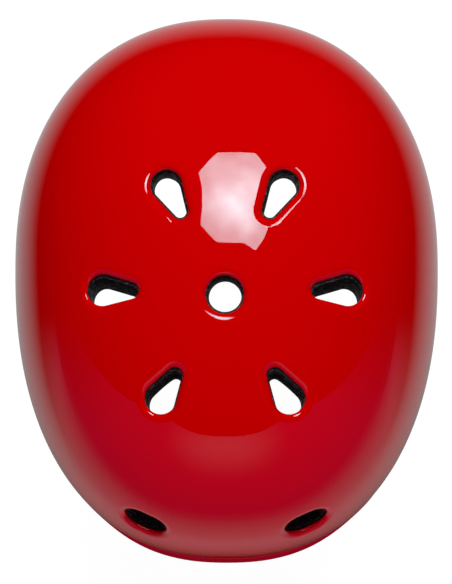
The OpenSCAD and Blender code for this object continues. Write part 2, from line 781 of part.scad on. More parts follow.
// A divider: a flat ring round both layers, with thumb ribs on its outer face
divider_end = 2.5;
corner_r = 1.6;
rib_r = 0.6;
rib_pitch = 3;
module divider() {
    slot = [2 * web_t + 2 * slide_gap, web_w + 2 * slide_gap];
    from_bar(join_drop + divider_h, join_y) difference() {
        union() {
            linear_extrude(divider_h)
                rounded(slot[0] + 2 * divider_wall, slot[1] + 2 * divider_end, corner_r);
            for (k = [-1, 0, 1])
                translate([slot[0] / 2 + divider_wall, 0, divider_h / 2 + rib_pitch * k])
                    rotate([90, 0, 0])
                        cylinder(h = web_w - 2 * divider_end, r = rib_r, center = true, $fn = 24);
        }
        linear_extrude(3 * divider_h, center = true) square(slot, center = true);
    }
}
module left_divider() {
    color(nylon_black) divider();
}
module right_divider() {
    color(nylon_black) mirror([1, 0, 0]) divider();
}

// The keeper: a rubber ring round the strap and the tail, above the clip
keeper_up = 20;
module strap_keeper() {
    low = -web_t - slide_gap;
    high = clip_x + loop_out + slide_gap;
    slot = [high - low, web_w + 2 * slide_gap];
    color(nylon_black) mirror([1, 0, 0])
        from_bar(clip_drop - keeper_up, join_y) translate([(low + high) / 2, 0, 0])
            linear_extrude(keeper_h) difference() {
                rounded(slot[0] + 2 * keeper_wall, slot[1] + 2 * keeper_wall, corner_r);
                rounded(slot[0], slot[1], corner_r / 4);
            }
}

// The socket: a hollow box below its bar, open at the mouth and at both sides, where
// the barbs stand out, with grooves for the fingers across its outer face
socket_top = 4.4;
socket_roof = 4;
side_window_h = 9.5;
side_window_at = 15;
eye_r = 2.8;
mouth_r = 1;
groove_r = 0.7;
module buckle_socket() {
    body_h = socket_len - socket_top;
    color(nylon_black) from_bar(socket_drop, join_y) {
        difference() {
            intersection() {
                translate([0, 0, -socket_len])
                    linear_extrude(body_h) rounded(socket_t, buckle_w, socket_t / 3);
                rotate([90, 0, 90]) linear_extrude(2 * socket_t, center = true)
                    translate([0, -socket_top - body_h / 2])
                        rounded(buckle_w, body_h, socket_t / 2);
            }
            translate([0, 0, -socket_len - mouth_r])
                linear_extrude(body_h - socket_roof + mouth_r) rounded(mouth_t, mouth_w, mouth_r);
            translate([0, 0, -socket_top - side_window_at]) rotate([90, 0, 0])
                linear_extrude(2 * buckle_w, center = true)
                    rounded(mouth_t, side_window_h, mouth_r);
            for (k = [0:2])
                translate([socket_t / 2 + groove_r / 2, 0, -socket_top - body_h * (0.3 + 0.2 * k)])
                    rotate([90, 0, 0])
                        cylinder(h = buckle_w / 2, r = groove_r, center = true, $fn = 24);
        }
        for (s = [-1, 1]) translate([0, s * (hanger_gap + cheek_t) / 2, 0]) {
            rotate([90, 0, 0]) cylinder(h = cheek_t, r = eye_r, center = true, $fn = 40);
            translate([-eye_r, -cheek_t / 2, -socket_top - mouth_r])
                cube([2 * eye_r, cheek_t, socket_top + mouth_r]);
        }
        rotate([90, 0, 0])
            cylinder(h = hanger_gap + cheek_t, r = bar_r, center = true, $fn = 32);
    }
}

// The clip: an upper cross bar between the two runs of webbing, a round bar in the
// fold, and a shoulder that carries the guide and the two prongs
window_h = 5;
shoulder_h = 7;
root_drop = window_h + shoulder_h;
cross_up = 3.4;
cross_h = 2.6;
rail_w = 3.2;
guide_w = 4.4;
guide_len = 17;
module in_clip() {
    mirror([1, 0, 0]) from_bar(clip_drop, join_y) translate([clip_x, 0, 0]) children();
}
module buckle_clip() {
    frame_t = 2 * loop_in - 0.2;
    color(nylon_black) in_clip() {
        rotate([90, 0, 0])
            cylinder(h = hanger_gap + cheek_t, r = bar_r, center = true, $fn = 32);
        translate([-frame_t / 2, -buckle_w / 2, cross_up]) cube([frame_t, buckle_w, cross_h]);
        for (s = [-1, 1])
            translate([0, s * (buckle_w - rail_w) / 2, (cross_up + cross_h - root_drop + 2) / 2])
                cube([clip_t, rail_w, cross_up + cross_h + root_drop - 2], center = true);
        difference() {
            translate([0, 0, shoulder_h / 2 - root_drop]) rotate([90, 0, 90])
                linear_extrude(clip_t, center = true) rounded(buckle_w, shoulder_h, 1.5);
            for (s = [-1, 1]) translate([0, s * prong_at, -root_drop]) rotate([0, 90, 0])
                cylinder(h = 2 * clip_t, r = root_r + root_gap, center = true, $fn = 48);
        }
        translate([0, 0, 1 - root_drop - guide_len / 2]) rotate([90, 0, 90])
            linear_extrude(clip_t, center = true)
                rounded(guide_w, guide_len + 1, guide_w * 0.36);
    }
}

// A prong hangs from its root and flexes towards the guide; its barb points outwards
barb_out = 2.2;
barb_h = 9;
barb_slope = 4;
module prong(s) {
    barb = mouth_w / 2 + barb_out - prong_at;
    half = prong_w / 2;
    tip = -prong_len;
    color(nylon_black) in_clip() translate([0, 0, -root_drop])
        mirror([0, s < 0 ? 1 : 0, 0]) translate([-clip_t / 2, prong_at, 0])
            rotate([90, 0, 90]) linear_extrude(clip_t) {
                circle(root_r, $fn = 48);
                polygon([[half, -root_r / 3], [-half, -root_r / 3], [-half, tip + half],
                         [-half + half / 3, tip], [half, tip], [barb, tip + barb_h - barb_slope],
                         [barb, tip + barb_h], [half, tip + barb_h + 1]]);
            }
}
module front_prong() {
    prong(-1);
}
module rear_prong() {
    prong(1);
}

outer_shell();
foam_liner();
brow_pad();
nape_pad();
left_side_pad();
right_side_pad();
crown_pad();
hook_patches();
strap_rivets();
rivet_washers();
left_front_hanger();
left_rear_hanger();
right_front_hanger();
right_rear_hanger();
left_front_strap();
left_rear_strap();
right_front_strap();
right_rear_strap();
right_chin_strap();
left_divider();
right_divider();
buckle_socket();
buckle_clip();
front_prong();
rear_prong();
strap_tail();
strap_keeper();
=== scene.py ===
import math

import bpy
import numpy as np
from mathutils import Matrix, Vector
from mathutils.bvhtree import BVHTree


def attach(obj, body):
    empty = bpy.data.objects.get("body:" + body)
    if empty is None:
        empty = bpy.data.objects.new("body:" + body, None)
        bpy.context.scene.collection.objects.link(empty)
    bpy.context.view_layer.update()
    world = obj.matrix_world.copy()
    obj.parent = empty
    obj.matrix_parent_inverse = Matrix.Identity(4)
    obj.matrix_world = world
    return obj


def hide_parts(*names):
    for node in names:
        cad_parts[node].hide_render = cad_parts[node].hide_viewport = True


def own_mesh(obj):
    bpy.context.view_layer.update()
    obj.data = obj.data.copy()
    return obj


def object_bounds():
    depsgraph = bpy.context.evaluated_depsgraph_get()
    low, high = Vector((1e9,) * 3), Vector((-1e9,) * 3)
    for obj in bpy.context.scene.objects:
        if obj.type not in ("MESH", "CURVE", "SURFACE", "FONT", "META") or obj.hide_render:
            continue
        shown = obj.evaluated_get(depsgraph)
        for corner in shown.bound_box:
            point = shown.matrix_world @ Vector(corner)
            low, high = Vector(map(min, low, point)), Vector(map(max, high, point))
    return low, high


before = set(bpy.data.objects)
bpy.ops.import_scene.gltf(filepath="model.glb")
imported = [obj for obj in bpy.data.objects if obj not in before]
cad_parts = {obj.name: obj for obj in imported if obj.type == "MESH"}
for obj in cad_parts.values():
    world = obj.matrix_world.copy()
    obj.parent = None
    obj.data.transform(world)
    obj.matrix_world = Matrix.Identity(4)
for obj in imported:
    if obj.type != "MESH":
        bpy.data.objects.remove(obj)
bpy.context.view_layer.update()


# Studio. The helmet hangs over a white table and is seen from straight above, a little
# from the front. A large softbox behind it is mirrored on the crown, and a dim mauve wall
# that curves round in front of it on the brow and the sides.
eye_height = 1.0                # from the aimed-at point to the camera
eye_forward = math.radians(4.5)
eye_right = math.radians(0.5)
aim = Vector((0.00004, -0.0165, 0.100))
frame_height = 0.024            # of the camera's sensor
photo_rows, lens_rows = 584, 1979        # the photo's height and focal length in pixels
lens = lens_rows / photo_rows * frame_height


def square_to(direction):
    """The level and the upright direction that stand square to another one."""
    wide = (Vector((1, 0, 0)) - direction * direction.x).normalized()
    return wide, direction.cross(wide)


back = Vector((math.sin(eye_right), -math.sin(eye_forward), 0))
back.z = math.sqrt(1 - back.length_squared)
camera = bpy.data.objects.new("camera", bpy.data.cameras.new("camera"))
bpy.context.scene.collection.objects.link(camera)
camera.data.sensor_fit = "VERTICAL"
camera.data.sensor_height = frame_height * 1000
camera.data.lens = lens * 1000
camera.data.clip_start = 0.05
camera.matrix_world = Matrix.Translation(aim + back * eye_height) @ Matrix(
    (*square_to(back), back)).transposed().to_4x4()
bpy.context.scene.camera = camera
bpy.context.scene.view_settings.view_transform = "Standard"


class Wire:
    """The output of a shader node, which takes part in sums as a number does."""

    def __init__(self, finish, output):
        self.finish, self.output = finish, output

    def maths(self, operation, first, second=0):
        return self.finish.node("ShaderNodeMath", {"operation": operation},
                                {0: first, 1: second})

    def __add__(self, other):
        return self.maths("ADD", self, other)

    def __sub__(self, other):
        return self.maths("SUBTRACT", self, other)

    def __rsub__(self, other):
        return self.maths("SUBTRACT", other, self)

    def __mul__(self, other):
        return self.maths("MULTIPLY", self, other)

    def sine(self):
        return self.maths("SINE", self)

    __radd__ = __add__
    __rmul__ = __mul__


class Finish:
    """A material, or the room's light, with the nodes that paint it and the constants on
    its own shader."""

    def __init__(self, name, home=bpy.data.materials, shader="Principled BSDF", **constants):
        self.made = home.new(name)
        self.made.use_nodes = True
        self.tree = self.made.node_tree
        self.shader = self.tree.nodes[shader]
        for socket, value in constants.items():
            self.shader.inputs[socket.replace("_", " ")].default_value = value

    def node(self, kind, settings, values, out=0):
        """Adds a node: its settings first, then the values or links of its sockets."""
        made = self.tree.nodes.new(kind)
        for name, value in settings.items():
            setattr(made, name, value)
        for socket, value in values.items():
            self.plug(made.inputs[socket], value)
        return Wire(self, made.outputs[out])

    def plug(self, socket, value):
        if isinstance(value, Wire):
            self.tree.links.new(value.output, socket)
        else:
            socket.default_value = value

    def feed(self, socket, value):
        self.plug(self.shader.inputs[socket], value)

    def show(self, surface):
        """Makes another shader than its own the surface."""
        self.plug(self.tree.nodes["Material Output"].inputs["Surface"], surface)

    def ray(self, kind):
        """1 for a ray of a kind that meets the surface, and 0 for any other."""
        return self.node("ShaderNodeLightPath", {}, {}, f"Is {kind} Ray")

    def place(self):
        return self.node("ShaderNodeTexCoord", {}, {}, "Object")

    def axis(self, vector, index):
        return self.node("ShaderNodeSeparateXYZ", {}, {0: vector}, index)

    def away_from(self, place, scale=(1, 1, 0)):
        """Distance of the painted point from a place, each direction with its own scale."""
        turned = self.node("ShaderNodeVectorMath", {"operation": "SUBTRACT"},
                           {0: self.place(), 1: place})
        scaled = self.node("ShaderNodeVectorMath", {"operation": "MULTIPLY"},
                           {0: turned, 1: scale})
        return self.node("ShaderNodeVectorMath", {"operation": "LENGTH"}, {0: scaled}, 1)

    def noise(self, scale, detail=2.0, rough=0.5):
        return self.node("ShaderNodeTexNoise", {}, {
            "Vector": self.place(), "Scale": scale, "Detail": detail, "Roughness": rough})

    def cells(self, scale, **settings):
        return self.node("ShaderNodeTexVoronoi", settings, {
            "Vector": self.place(), "Scale": scale})

    def between(self, amount, low, high):
        """The amount's rise from low to high, as a share from 0 to 1."""
        return self.node("ShaderNodeMapRange", {"interpolation_type": "SMOOTHSTEP"}, {
            "Value": amount, "From Min": low, "From Max": high})

    def blend(self, share, first, second):
        return self.node("ShaderNodeMix", {"data_type": "RGBA"}, {
            0: share, 6: first, 7: second}, 2)

    def tint(self, share, low, high):
        """Colours the surface from one colour to another by a share."""
        self.feed("Base Color", self.blend(share, (*low, 1), (*high, 1)))

    def relief(self, height, depth, strength=1.0):
        bump = self.node("ShaderNodeBump", {}, {
            "Height": height, "Distance": depth, "Strength": strength})
        self.feed("Normal", bump)


def paint(obj, finish):
    obj.data.materials.clear()
    obj.data.materials.append(finish.made)


def at_rest_place(obj):
    """Puts a finished piece's place into its mesh."""
    bpy.context.view_layer.update()
    obj.data.transform(obj.matrix_world)
    obj.matrix_world = Matrix.Identity(4)


def added(primitive, **settings):
    """A new primitive, with nothing else selected."""
    bpy.ops.object.select_all(action="DESELECT")
    primitive(**settings)
    return bpy.context.object


# The table: white to the camera, with a trace of the helmet's shadow, and clear from below.
# In the gloss it glows with a painted reflection: pale round the helmet and ahead of it, mauve
# far ahead, dark behind the helmet, and dark under the brow in a painted shadow of the helmet.
table_gap = 0.002               # from the lowest buckle down to the table
table_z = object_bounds()[0].z - table_gap
table_white, table_shade, table_bounce = 0.965, 0.12, 0.75
pale_near = (0.58, 0.58, 0.58, 1)
pale_ahead, mauve_ahead = (0.68, 0.642, 0.66, 1), (0.30, 0.111, 0.31, 1)
black = (0, 0, 0, 1)
near_middle, near_scale = (0, -0.435, 0), (1.72, 1, 0)
near_edge, near_fade = (0.72, 1.40), (0.2, 0.99)
ahead_edge, mauve_edge = (0.0, 0.365), (-0.5, 2.39)
painted_shadow_middle, painted_shadow_edge = (0, -0.18, 0), (0.01, 0.365)
table = added(bpy.ops.mesh.primitive_plane_add, size=9, location=(0, 0, table_z))
table.name = "table"
at_rest_place(table)
top = Finish("table_top")
# Painted reflection of the lit table, as the gloss sees it: pale near the helmet, pale then mauve
# ahead, black behind
forward = top.axis(top.place(), 1) * -1
near = 1 - top.between(top.away_from(near_middle, near_scale), *near_edge)
near = near * (1 - top.between(forward, *near_fade))
far_ahead = top.between(top.away_from((0, 0, 0)), *mauve_edge)
front = top.blend(top.between(forward, *ahead_edge), black,
                  top.blend(far_ahead, pale_ahead, mauve_ahead))
mirrored = top.node("ShaderNodeMix", {"data_type": "RGBA", "blend_type": "LIGHTEN"}, {
    0: 1.0, 6: front, 7: top.blend(near, black, pale_near)}, 2)
# Painted shadow of the helmet in that reflection: it goes dark round a spot under the brow
mirrored = top.blend(top.between(top.away_from(painted_shadow_middle), *painted_shadow_edge), black, mirrored)
seen = top.ray("Camera")
glow = top.node("ShaderNodeEmission", {}, {
    "Color": top.blend(seen, mirrored, (table_white, table_white, table_white, 1)),
    "Strength": seen + top.ray("Glossy")})
lit = top.node("ShaderNodeBsdfDiffuse", {}, {
    "Color": seen * table_shade + top.ray("Diffuse") * table_bounce})
both = top.node("ShaderNodeAddShader", {}, {0: lit, 1: glow})
clear = top.node("ShaderNodeBsdfTransparent", {}, {})
under = top.node("ShaderNodeNewGeometry", {}, {}, "Backfacing")
top.show(top.node("ShaderNodeMixShader", {}, {0: under, 1: both, 2: clear}))
paint(table, top)


def mirrored_light(panel, name, light, tone, power):
    """Makes a mesh a light that only shows in the gloss of other surfaces."""
    panel.name = name
    light.show(light.node("ShaderNodeEmission", {}, {"Color": tone, "Strength": power}))
    paint(panel, light)
    panel.visible_camera = False
    panel.visible_diffuse = False
    panel.visible_shadow = False


# The softbox, square to its own direction from the crown. Its outline is what the slightly
# wavy gloss makes of a box with cut corners, in shares of its half width and height.
softbox_away = 1.6
softbox_back = math.radians(33.2)
softbox_right = math.radians(4.2)
softbox_half = (math.radians(11.8), math.radians(14.5))
crown = Vector((0, -0.0224, 0.160))
toward = Vector((math.sin(softbox_right), math.sin(softbox_back), math.cos(softbox_back)))
toward.normalize()
wide, tall = square_to(toward)
half = [softbox_away * math.tan(angle) for angle in softbox_half]
corners = [(0.95, -0.55), (0.78, 0.2), (0.73, 0.56), (0.34, 0.92), (-0.53, 0.92),
           (-1.03, 0.46), (-0.94, 0.10), (-0.95, -0.28), (-1.03, -0.68), (-0.58, -1.05),
           (0.1, -1.06), (0.48, -1.21), (0.74, -0.96)]
softbox_tone, softbox_power, hot_power = (0.58, 0.97, 1.05, 1), 9.6, 10
hot_down, hot_r = 0.08, 0.40
cloud_scale, cloud_depth, cloud_low = 4.5, 1.1, 0.45
softbox_middle = crown + toward * softbox_away
softbox = added(bpy.ops.mesh.primitive_circle_add, vertices=len(corners), fill_type="NGON")
for vertex, (u, v) in zip(softbox.data.vertices, corners):
    vertex.co = softbox_middle + wide * (u * half[0]) + tall * (v * half[1])
box_light = Finish("softbox_glow")
hot = 1 - box_light.between(
    box_light.away_from(softbox_middle - tall * hot_down, (1, 1, 1)), 0, hot_r)
cloud = box_light.noise(cloud_scale) * cloud_depth + cloud_low
mirrored_light(softbox, "softbox", box_light, softbox_tone,
               (hot * hot_power + softbox_power) * cloud)

# The wall that curves round the front, up to the height whose mirror image crosses the
# helmet in front of the crown and climbs to its sides. It fades out towards its ends.
wall_away, wall_foot = 2.2, 0.1
wall_turn_max = math.radians(97)
wall_columns = 48
wall_tone, wall_bright = (0.27, 0.035, 0.24, 1), (0.68, 0.46, 0.66, 1)
bright_r, bright_scale = 1.3, (0.85, 1, 1)
low_end, wall_fade = 0.06, (-1.25, 0.1)
seen_tilt, seen_rise = 1.137, 0.165      # of the mirror image's edge
wall_side_up, wall_mid_up = math.radians(8), math.radians(2.5)
front_wall = added(bpy.ops.mesh.primitive_grid_add, x_subdivisions=wall_columns,
                   y_subdivisions=1, size=2)
for vertex in front_wall.data.vertices:
    turn = vertex.co.x * wall_turn_max
    ahead = math.cos(turn)
    rise = math.atan2(ahead, seen_tilt) + math.asin(seen_rise / math.hypot(seen_tilt, ahead))
    rise += wall_side_up * math.sin(2 * turn) ** 2 + wall_mid_up * max(0, math.cos(3 * turn)) ** 2
    height = wall_foot + wall_away * math.tan(rise) if vertex.co.y > 0 else table_z
    vertex.co = (wall_away * math.sin(turn), -wall_away * ahead, height)
wall_light = Finish("front_wall_glow")
low = 1 - wall_light.between(wall_light.axis(wall_light.place(), 2), table_z, low_end)
bright = 1 - wall_light.between(
    wall_light.away_from((0, -wall_away, wall_foot + wall_away), bright_scale), 0, bright_r)
tone = wall_light.blend(bright, wall_light.blend(low, wall_tone, mauve_ahead), wall_bright)
ends = wall_light.between(wall_light.axis(wall_light.place(), 1), *wall_fade)
mirrored_light(front_wall, "front_wall", wall_light, tone, 1 - ends)


def lamp(name, place, size, power):
    light = bpy.data.lights.new(name, "AREA")
    light.shape = "DISK"
    light.size = size
    light.energy = power
    lamp_object = bpy.data.objects.new(name, light)
    bpy.context.scene.collection.objects.link(lamp_object)
    lamp_object.location = place
    lamp_object.rotation_euler = (crown - Vector(place)).to_track_quat("-Z", "Y").to_euler()
    lamp_object.visible_glossy = False


lamp("top_lamp", (0.1, 0.8, 1.55), 1.0, 26.4)
lamp("front_lamp", (0, -2.2, 0.4), 1.0, 17)
lamp("left_lamp", (1.6, -0.2, 0.9), 1.0, 0.7)
lamp("right_lamp", (-1.6, -0.2, 0.9), 1.0, 0.7)
lamp("floor_lamp", (0.6, -0.9, -1.5), 1.4, 16)

# The room: white to the camera, a dim fill on the helmet, and black in its gloss
room_fill = 0.06
room = Finish("room", bpy.data.worlds, "Background", Color=(1, 1, 1, 1))
bpy.context.scene.world = room.made
seen = room.ray("Camera")
room.feed("Strength", seen.maths("MAXIMUM", seen, (1 - room.ray("Glossy")) * room_fill))


# Outer shell: one injection-moulded skin of glossy red plastic, 3 mm thick, with a lip
# turned out along its rim and the edge of every vent rolled in. It is bonded to the foam.
belt_z = 0.060                  # where the wall ends and the dome starts
crown_h = 0.102                 # of the dome over the belt
crown_ahead = 0.0224
shell_half = 0.1103
shell_front, shell_rear = 0.152, 0.130
front_power, rear_power, dome_power = 2.3, 2.24, 2.2
brow_z, side_z, ear_arch = 0.044, 0.012, 0.008
brow_end, brow_ease = 70, 35            # bearings of the rim's rises, in degrees
nape_start, nape_ease = 118, 32
ear_turn, ear_ease = 92, 8
brow_tuck, side_tuck, nape_tuck = 0.002, 0.006, 0.012
lip_out, lip_brow, lip_h = 0.0018, 0.0018, 0.008
lip_sharp, lip_brow_from = 4, 0.82      # the brow's lip starts at this cosine of bearing
shell_t = 0.003
rim_r = 0.0013
crown_level = 88.4              # of the dome's last row, inside the crown vent


def smooth(x):
    k = np.clip(x, 0, 1)
    return k * k * (3 - 2 * k)


def signed_power(v, p):
    return np.sign(v) * np.abs(v) ** p


def rim_z(bearing):
    """Height of the rim at a bearing in degrees: 0 brow, 90 left ear, 180 nape."""
    s = np.abs((bearing + 540) % 360 - 180)
    return (side_z + (brow_z - side_z) * smooth((brow_end - s) / brow_ease)
            - side_z * smooth((s - nape_start) / nape_ease)
            + ear_arch * np.exp(-((s - ear_turn) / ear_ease) ** 2))


def plan(bearing, side, end):
    """Outline of the belt, drawn in by a depth at the sides and another at the ends."""
    a = np.radians(bearing)
    c, s = np.cos(a), np.sin(a)
    p = 2 / np.where(c > 0, front_power, rear_power)
    reach = np.where(c > 0, shell_front, shell_rear)
    return (shell_half - side) * signed_power(s, p), -(reach - end) * signed_power(c, p)


def surface(bearing, level, depth, lip=1.0):
    """Points at a bearing and a level (metres under the belt, or degrees of dome), at a
    depth under the outer surface: at the sides, the ends and the crown."""
    bearing, level = np.broadcast_arrays(np.asarray(bearing, float), np.asarray(level, float))
    side, end, crown_d = [np.broadcast_to(d, bearing.shape) for d in depth]
    e = np.radians(np.clip(level, 0, 90))
    r = np.abs(np.cos(e)) ** (2 / dome_power)
    px, py = plan(bearing, side, end)
    dome = np.stack([px * r, py * r - crown_ahead * (1 - r * r),
                     belt_z + (crown_h - crown_d) * np.sin(e) ** (2 / dome_power)], -1)
    z = belt_z + np.minimum(level, 0)
    c = np.cos(np.radians(bearing))
    tuck = side_tuck + (np.where(c > 0, brow_tuck, nape_tuck) - side_tuck) * c * c
    turned = np.clip((rim_z(bearing) + lip_h - z) / (lip_h - rim_r), 0, 1) ** lip_sharp
    flare = (lip_out + lip_brow * smooth((c - lip_brow_from) / (1 - lip_brow_from))) * turned
    drawn = tuck * ((z - belt_z) / belt_z) ** 2 - lip * flare
    wx, wy = plan(bearing, side + drawn, end + drawn)
    wall = np.stack([wx, wy, z], -1)
    return np.where((level > 0)[..., None], dome, wall)


def wall_level(bearing, share, above):
    """Level of a share of the wall, from its lower edge, where rows crowd, to the belt."""
    rim_crowding = 1.4
    return -(belt_z - rim_z(bearing) - above) * (1 - share ** rim_crowding)


def in_dome(points, depth):
    """How points stand in the dome at a depth: the dome's rise and radius at their height,
    as shares, their shares of its reach to the side and to the rear, and the power."""
    x, y, z = points.T
    rise = np.clip((z - belt_z) / (crown_h - depth[2]), 0, 1)
    r = (1 - rise ** dome_power) ** (1 / dome_power)
    v = y + crown_ahead * (1 - r * r)
    reach = np.where(v < 0, shell_front, shell_rear) - depth[1]
    power = np.where(v < 0, front_power, rear_power)
    return rise, r, np.abs(x) / (shell_half - depth[0]), v / reach, power


def leaves(points, direction, depth, reach):
    """Where lines from points inside the dome, along a direction, leave it at a depth."""
    halvings = 26
    low, high = np.zeros(len(points)), np.full(len(points), float(reach))
    for halving in range(halvings):
        middle = (low + high) / 2
        rise, r, side, end, power = in_dome(points + middle[:, None] * direction, depth)
        out = side ** power + np.abs(end) ** power > r ** power
        low, high = np.where(out, low, middle), np.where(out, middle, high)
    return points + high[:, None] * direction


def mesh_points(obj):
    flat = np.empty(len(obj.data.vertices) * 3)
    obj.data.vertices.foreach_get("co", flat)
    return flat.reshape(-1, 3)


def move_points(obj, points):
    obj.data.vertices.foreach_set("co", points.ravel())
    obj.data.update()


def wrapped(name, columns, rows, place, close=True, marks=None):
    """A grid added and bent into a tube: place gives the points of its columns and rows,
    and marks their texture places. The seam is merged. A closed tube's first and last row
    are one."""
    obj = added(bpy.ops.mesh.primitive_grid_add, x_subdivisions=columns,
                y_subdivisions=rows, size=2)
    obj.name = obj.data.name = name
    flat = mesh_points(obj)
    column = np.rint((flat[:, 0] + 1) / 2 * columns).astype(int)
    row = np.rint((flat[:, 1] + 1) / 2 * rows).astype(int)
    move_points(obj, np.asarray(place(column, row), float))
    if marks is not None:
        corners = np.empty(len(obj.data.loops), dtype=np.int32)
        obj.data.loops.foreach_get("vertex_index", corners)
        obj.data.uv_layers[0].data.foreach_set("uv", marks(column, row)[corners].ravel())
    bpy.ops.object.mode_set(mode="EDIT")
    bpy.ops.mesh.select_all(action="SELECT")
    bpy.ops.mesh.remove_doubles(threshold=1e-6)
    if not close:
        bpy.ops.mesh.select_all(action="DESELECT")
        bpy.ops.mesh.select_non_manifold()
        bpy.ops.mesh.fill_holes(sides=0)
        bpy.ops.mesh.select_all(action="SELECT")
    bpy.ops.mesh.normals_make_consistent(inside=False)
    bpy.ops.object.mode_set(mode="OBJECT")
    return obj


def skin_rows(depth_out, depth_in, above_out, above_in, wall_rows, dome_rows, edge_rows=8):
    """The section of a moulded bowl as rows of (share of the wall less 1 or dome degrees,
    depth, height above the rim, bulge): down the inside, round the rim, up the outside."""
    crown_crowding = 0.9
    rise = [crown_level * (k / dome_rows) ** crown_crowding for k in range(1, dome_rows + 1)]
    wall = [k / wall_rows - 1 for k in range(0, wall_rows + 1)]
    rows = [(level, depth_in, 0, 0) for level in reversed(rise)]
    rows += [(share, depth_in, above_in, 0) for share in reversed(wall)]
    for k in range(1, edge_rows):
        turn = math.pi * k / edge_rows
        share = (1 - math.cos(turn)) / 2
        depth = [i + (o - i) * share for i, o in zip(depth_in, depth_out)]
        rows.append((-1, depth, above_in + (above_out - above_in) * share, math.sin(turn)))
    rows += [(share, depth_out, above_out, 0) for share in wall]
    rows += [(level, depth_out, 0, 0) for level in rise]
    return rows + rows[:1]


def bowl(name, columns, rows, round_r, lip):
    """A bowl from its section's rows, with its lower edge rounded."""
    share, depth, above, bulge = [np.array(values, float) for values in zip(*rows)]
    above, bulge = above + round_r, bulge * round_r

    def place(column, row):
        a = 360.0 * column / columns
        wall = wall_level(a, np.clip(share[row] + 1, 0, 1), above[row])
        level = np.where(share[row] > 0, share[row], wall)
        points = surface(a, level, depth[row].T, lip)
        points[:, 2] -= bulge[row]
        return points
    return wrapped(name, columns, len(rows) - 1, place)


def choose(objects):
    """Selects these objects alone, with the first one active."""
    bpy.ops.object.select_all(action="DESELECT")
    for obj in objects:
        obj.select_set(True)
    bpy.context.view_layer.objects.active = objects[0]


def joined(parts):
    choose(parts)
    if len(parts) > 1:
        bpy.ops.object.join()
    return bpy.context.object


def use_modifier(obj, kind, **settings):
    """Adds a modifier with its settings and applies it."""
    choose([obj])
    modifier = obj.modifiers.new(kind, kind)
    for setting, value in settings.items():
        setattr(modifier, setting, value)
    bpy.ops.object.modifier_apply(modifier=modifier.name)


def cut(obj, cutters):
    """Takes several solids out of a piece."""
    tool = joined(cutters)
    use_modifier(obj, "BOOLEAN", operation="DIFFERENCE", solver="EXACT", object=tool)
    bpy.data.objects.remove(tool)


# The vents' outlines, as points round them, each made wider all round
def arc(middle, r, start, end, count):
    """Points on an arc, whose middle lies along the first axis, between two degrees."""
    t = np.radians(np.linspace(start, end, count))
    return np.stack([middle + r * np.cos(t), r * np.sin(t)], -1)


def round_outline(r, wider):
    return arc(0, r + wider, 0, 355, 72)


def drop_outline(wide_r, tip_r, span, wider):
    half = 90 + math.degrees(math.asin((wide_r - tip_r) / span))
    return np.concatenate([arc(0, wide_r + wider, -half, half, 41),
                           arc(-span, tip_r + wider, half, 360 - half, 21)])


def oval_outline(width, height, wider):
    right = arc((width - height) / 2, height / 2 + wider, -90, 90, 29)
    return np.concatenate([right, -right])


class Vent:
    """A vent bored from a point inside the helmet along n, with u and v across it."""

    def __init__(self, base, u, n, reach, outline):
        self.base, self.u, self.n = (np.array(vector, float) for vector in (base, u, n))
        self.v = np.cross(self.n, self.u)
        self.reach, self.outline = reach, outline

    def ring(self, wider, depth):
        """The vent's outline, made wider, where it meets the dome at a depth."""
        q = self.outline(wider)
        start = self.base + q[:, :1] * self.u + q[:, 1:] * self.v
        return leaves(start, self.n, (depth, depth, depth), self.reach)


def cutter(name, rings):
    """The solid that runs through rings of points, one after another."""
    count = len(rings[0])
    stack = np.stack(rings)
    return wrapped(name, count, len(rings) - 1,
                   lambda column, row: stack[row, column % count], close=False)


crown_vent_r, drop_r, tip_r = 0.0091, 0.0076, 0.004
# Turn from straight back, distance of the wide end from the crown, share of the lean, and
# distance between the middles of the two ends
drops = ((28, 0.0604, 0, 0.0146), (87, 0.059, 1, 0.0136), (148, 0.0578, 1, 0.0126))
slot_w, slot_h = 0.022, 0.017
slot_start, slot_reach = 0.04, 0.06
slots = ((21, 27.2, 31), (158, 2.5, 3))          # bearing, level and rise
bore_reach = crown_h * 1.1


def all_vents(draft, lean):
    """Every vent, narrowed all round by the draft and leaning forward by the lean."""
    middle = np.array([0, -crown_ahead, belt_z])
    vents = [Vent(middle, (1, 0, 0), (0, 0, 1), bore_reach,
                  lambda wider: round_outline(crown_vent_r - draft, wider))]
    for side in (-1, 1):
        for turn, away, leans, span in drops:
            t = math.radians(90 - side * turn)
            u = np.array([math.cos(t), math.sin(t), 0])
            shift = np.array([0, -lean * leans, 0])
            vents.append(Vent(middle + away * u + shift, u, (0, 0, 1), bore_reach,
                              lambda wider, span=span: drop_outline(
                                  drop_r - draft, tip_r - draft, span, wider)))
        for a, level, rise in slots:
            a, rise = math.radians(side * a), math.radians(rise)
            n = np.array([math.cos(rise) * math.sin(a), -math.cos(rise) * math.cos(a),
                          math.sin(rise)])
            start = surface(math.degrees(a), level, (0, 0, 0)) - slot_start * n
            vents.append(Vent(start, (math.cos(a), math.sin(a), 0), n, slot_reach,
                              lambda wider: oval_outline(
                                  slot_w - 2 * draft, slot_h - 2 * draft, wider)))
    return vents


shell_in = (shell_t, shell_t, shell_t)
shell_section = skin_rows((0, 0, 0), shell_in, 0, 0, wall_rows=34, dome_rows=58)
outer_shell = bowl("outer_shell_skin", 240, shell_section, rim_r, lip=1)
uncut = outer_shell.copy()
uncut.data = outer_shell.data.copy()
bpy.context.scene.collection.objects.link(uncut)
for shape in (uncut, outer_shell):
    shape.data.shade_smooth()

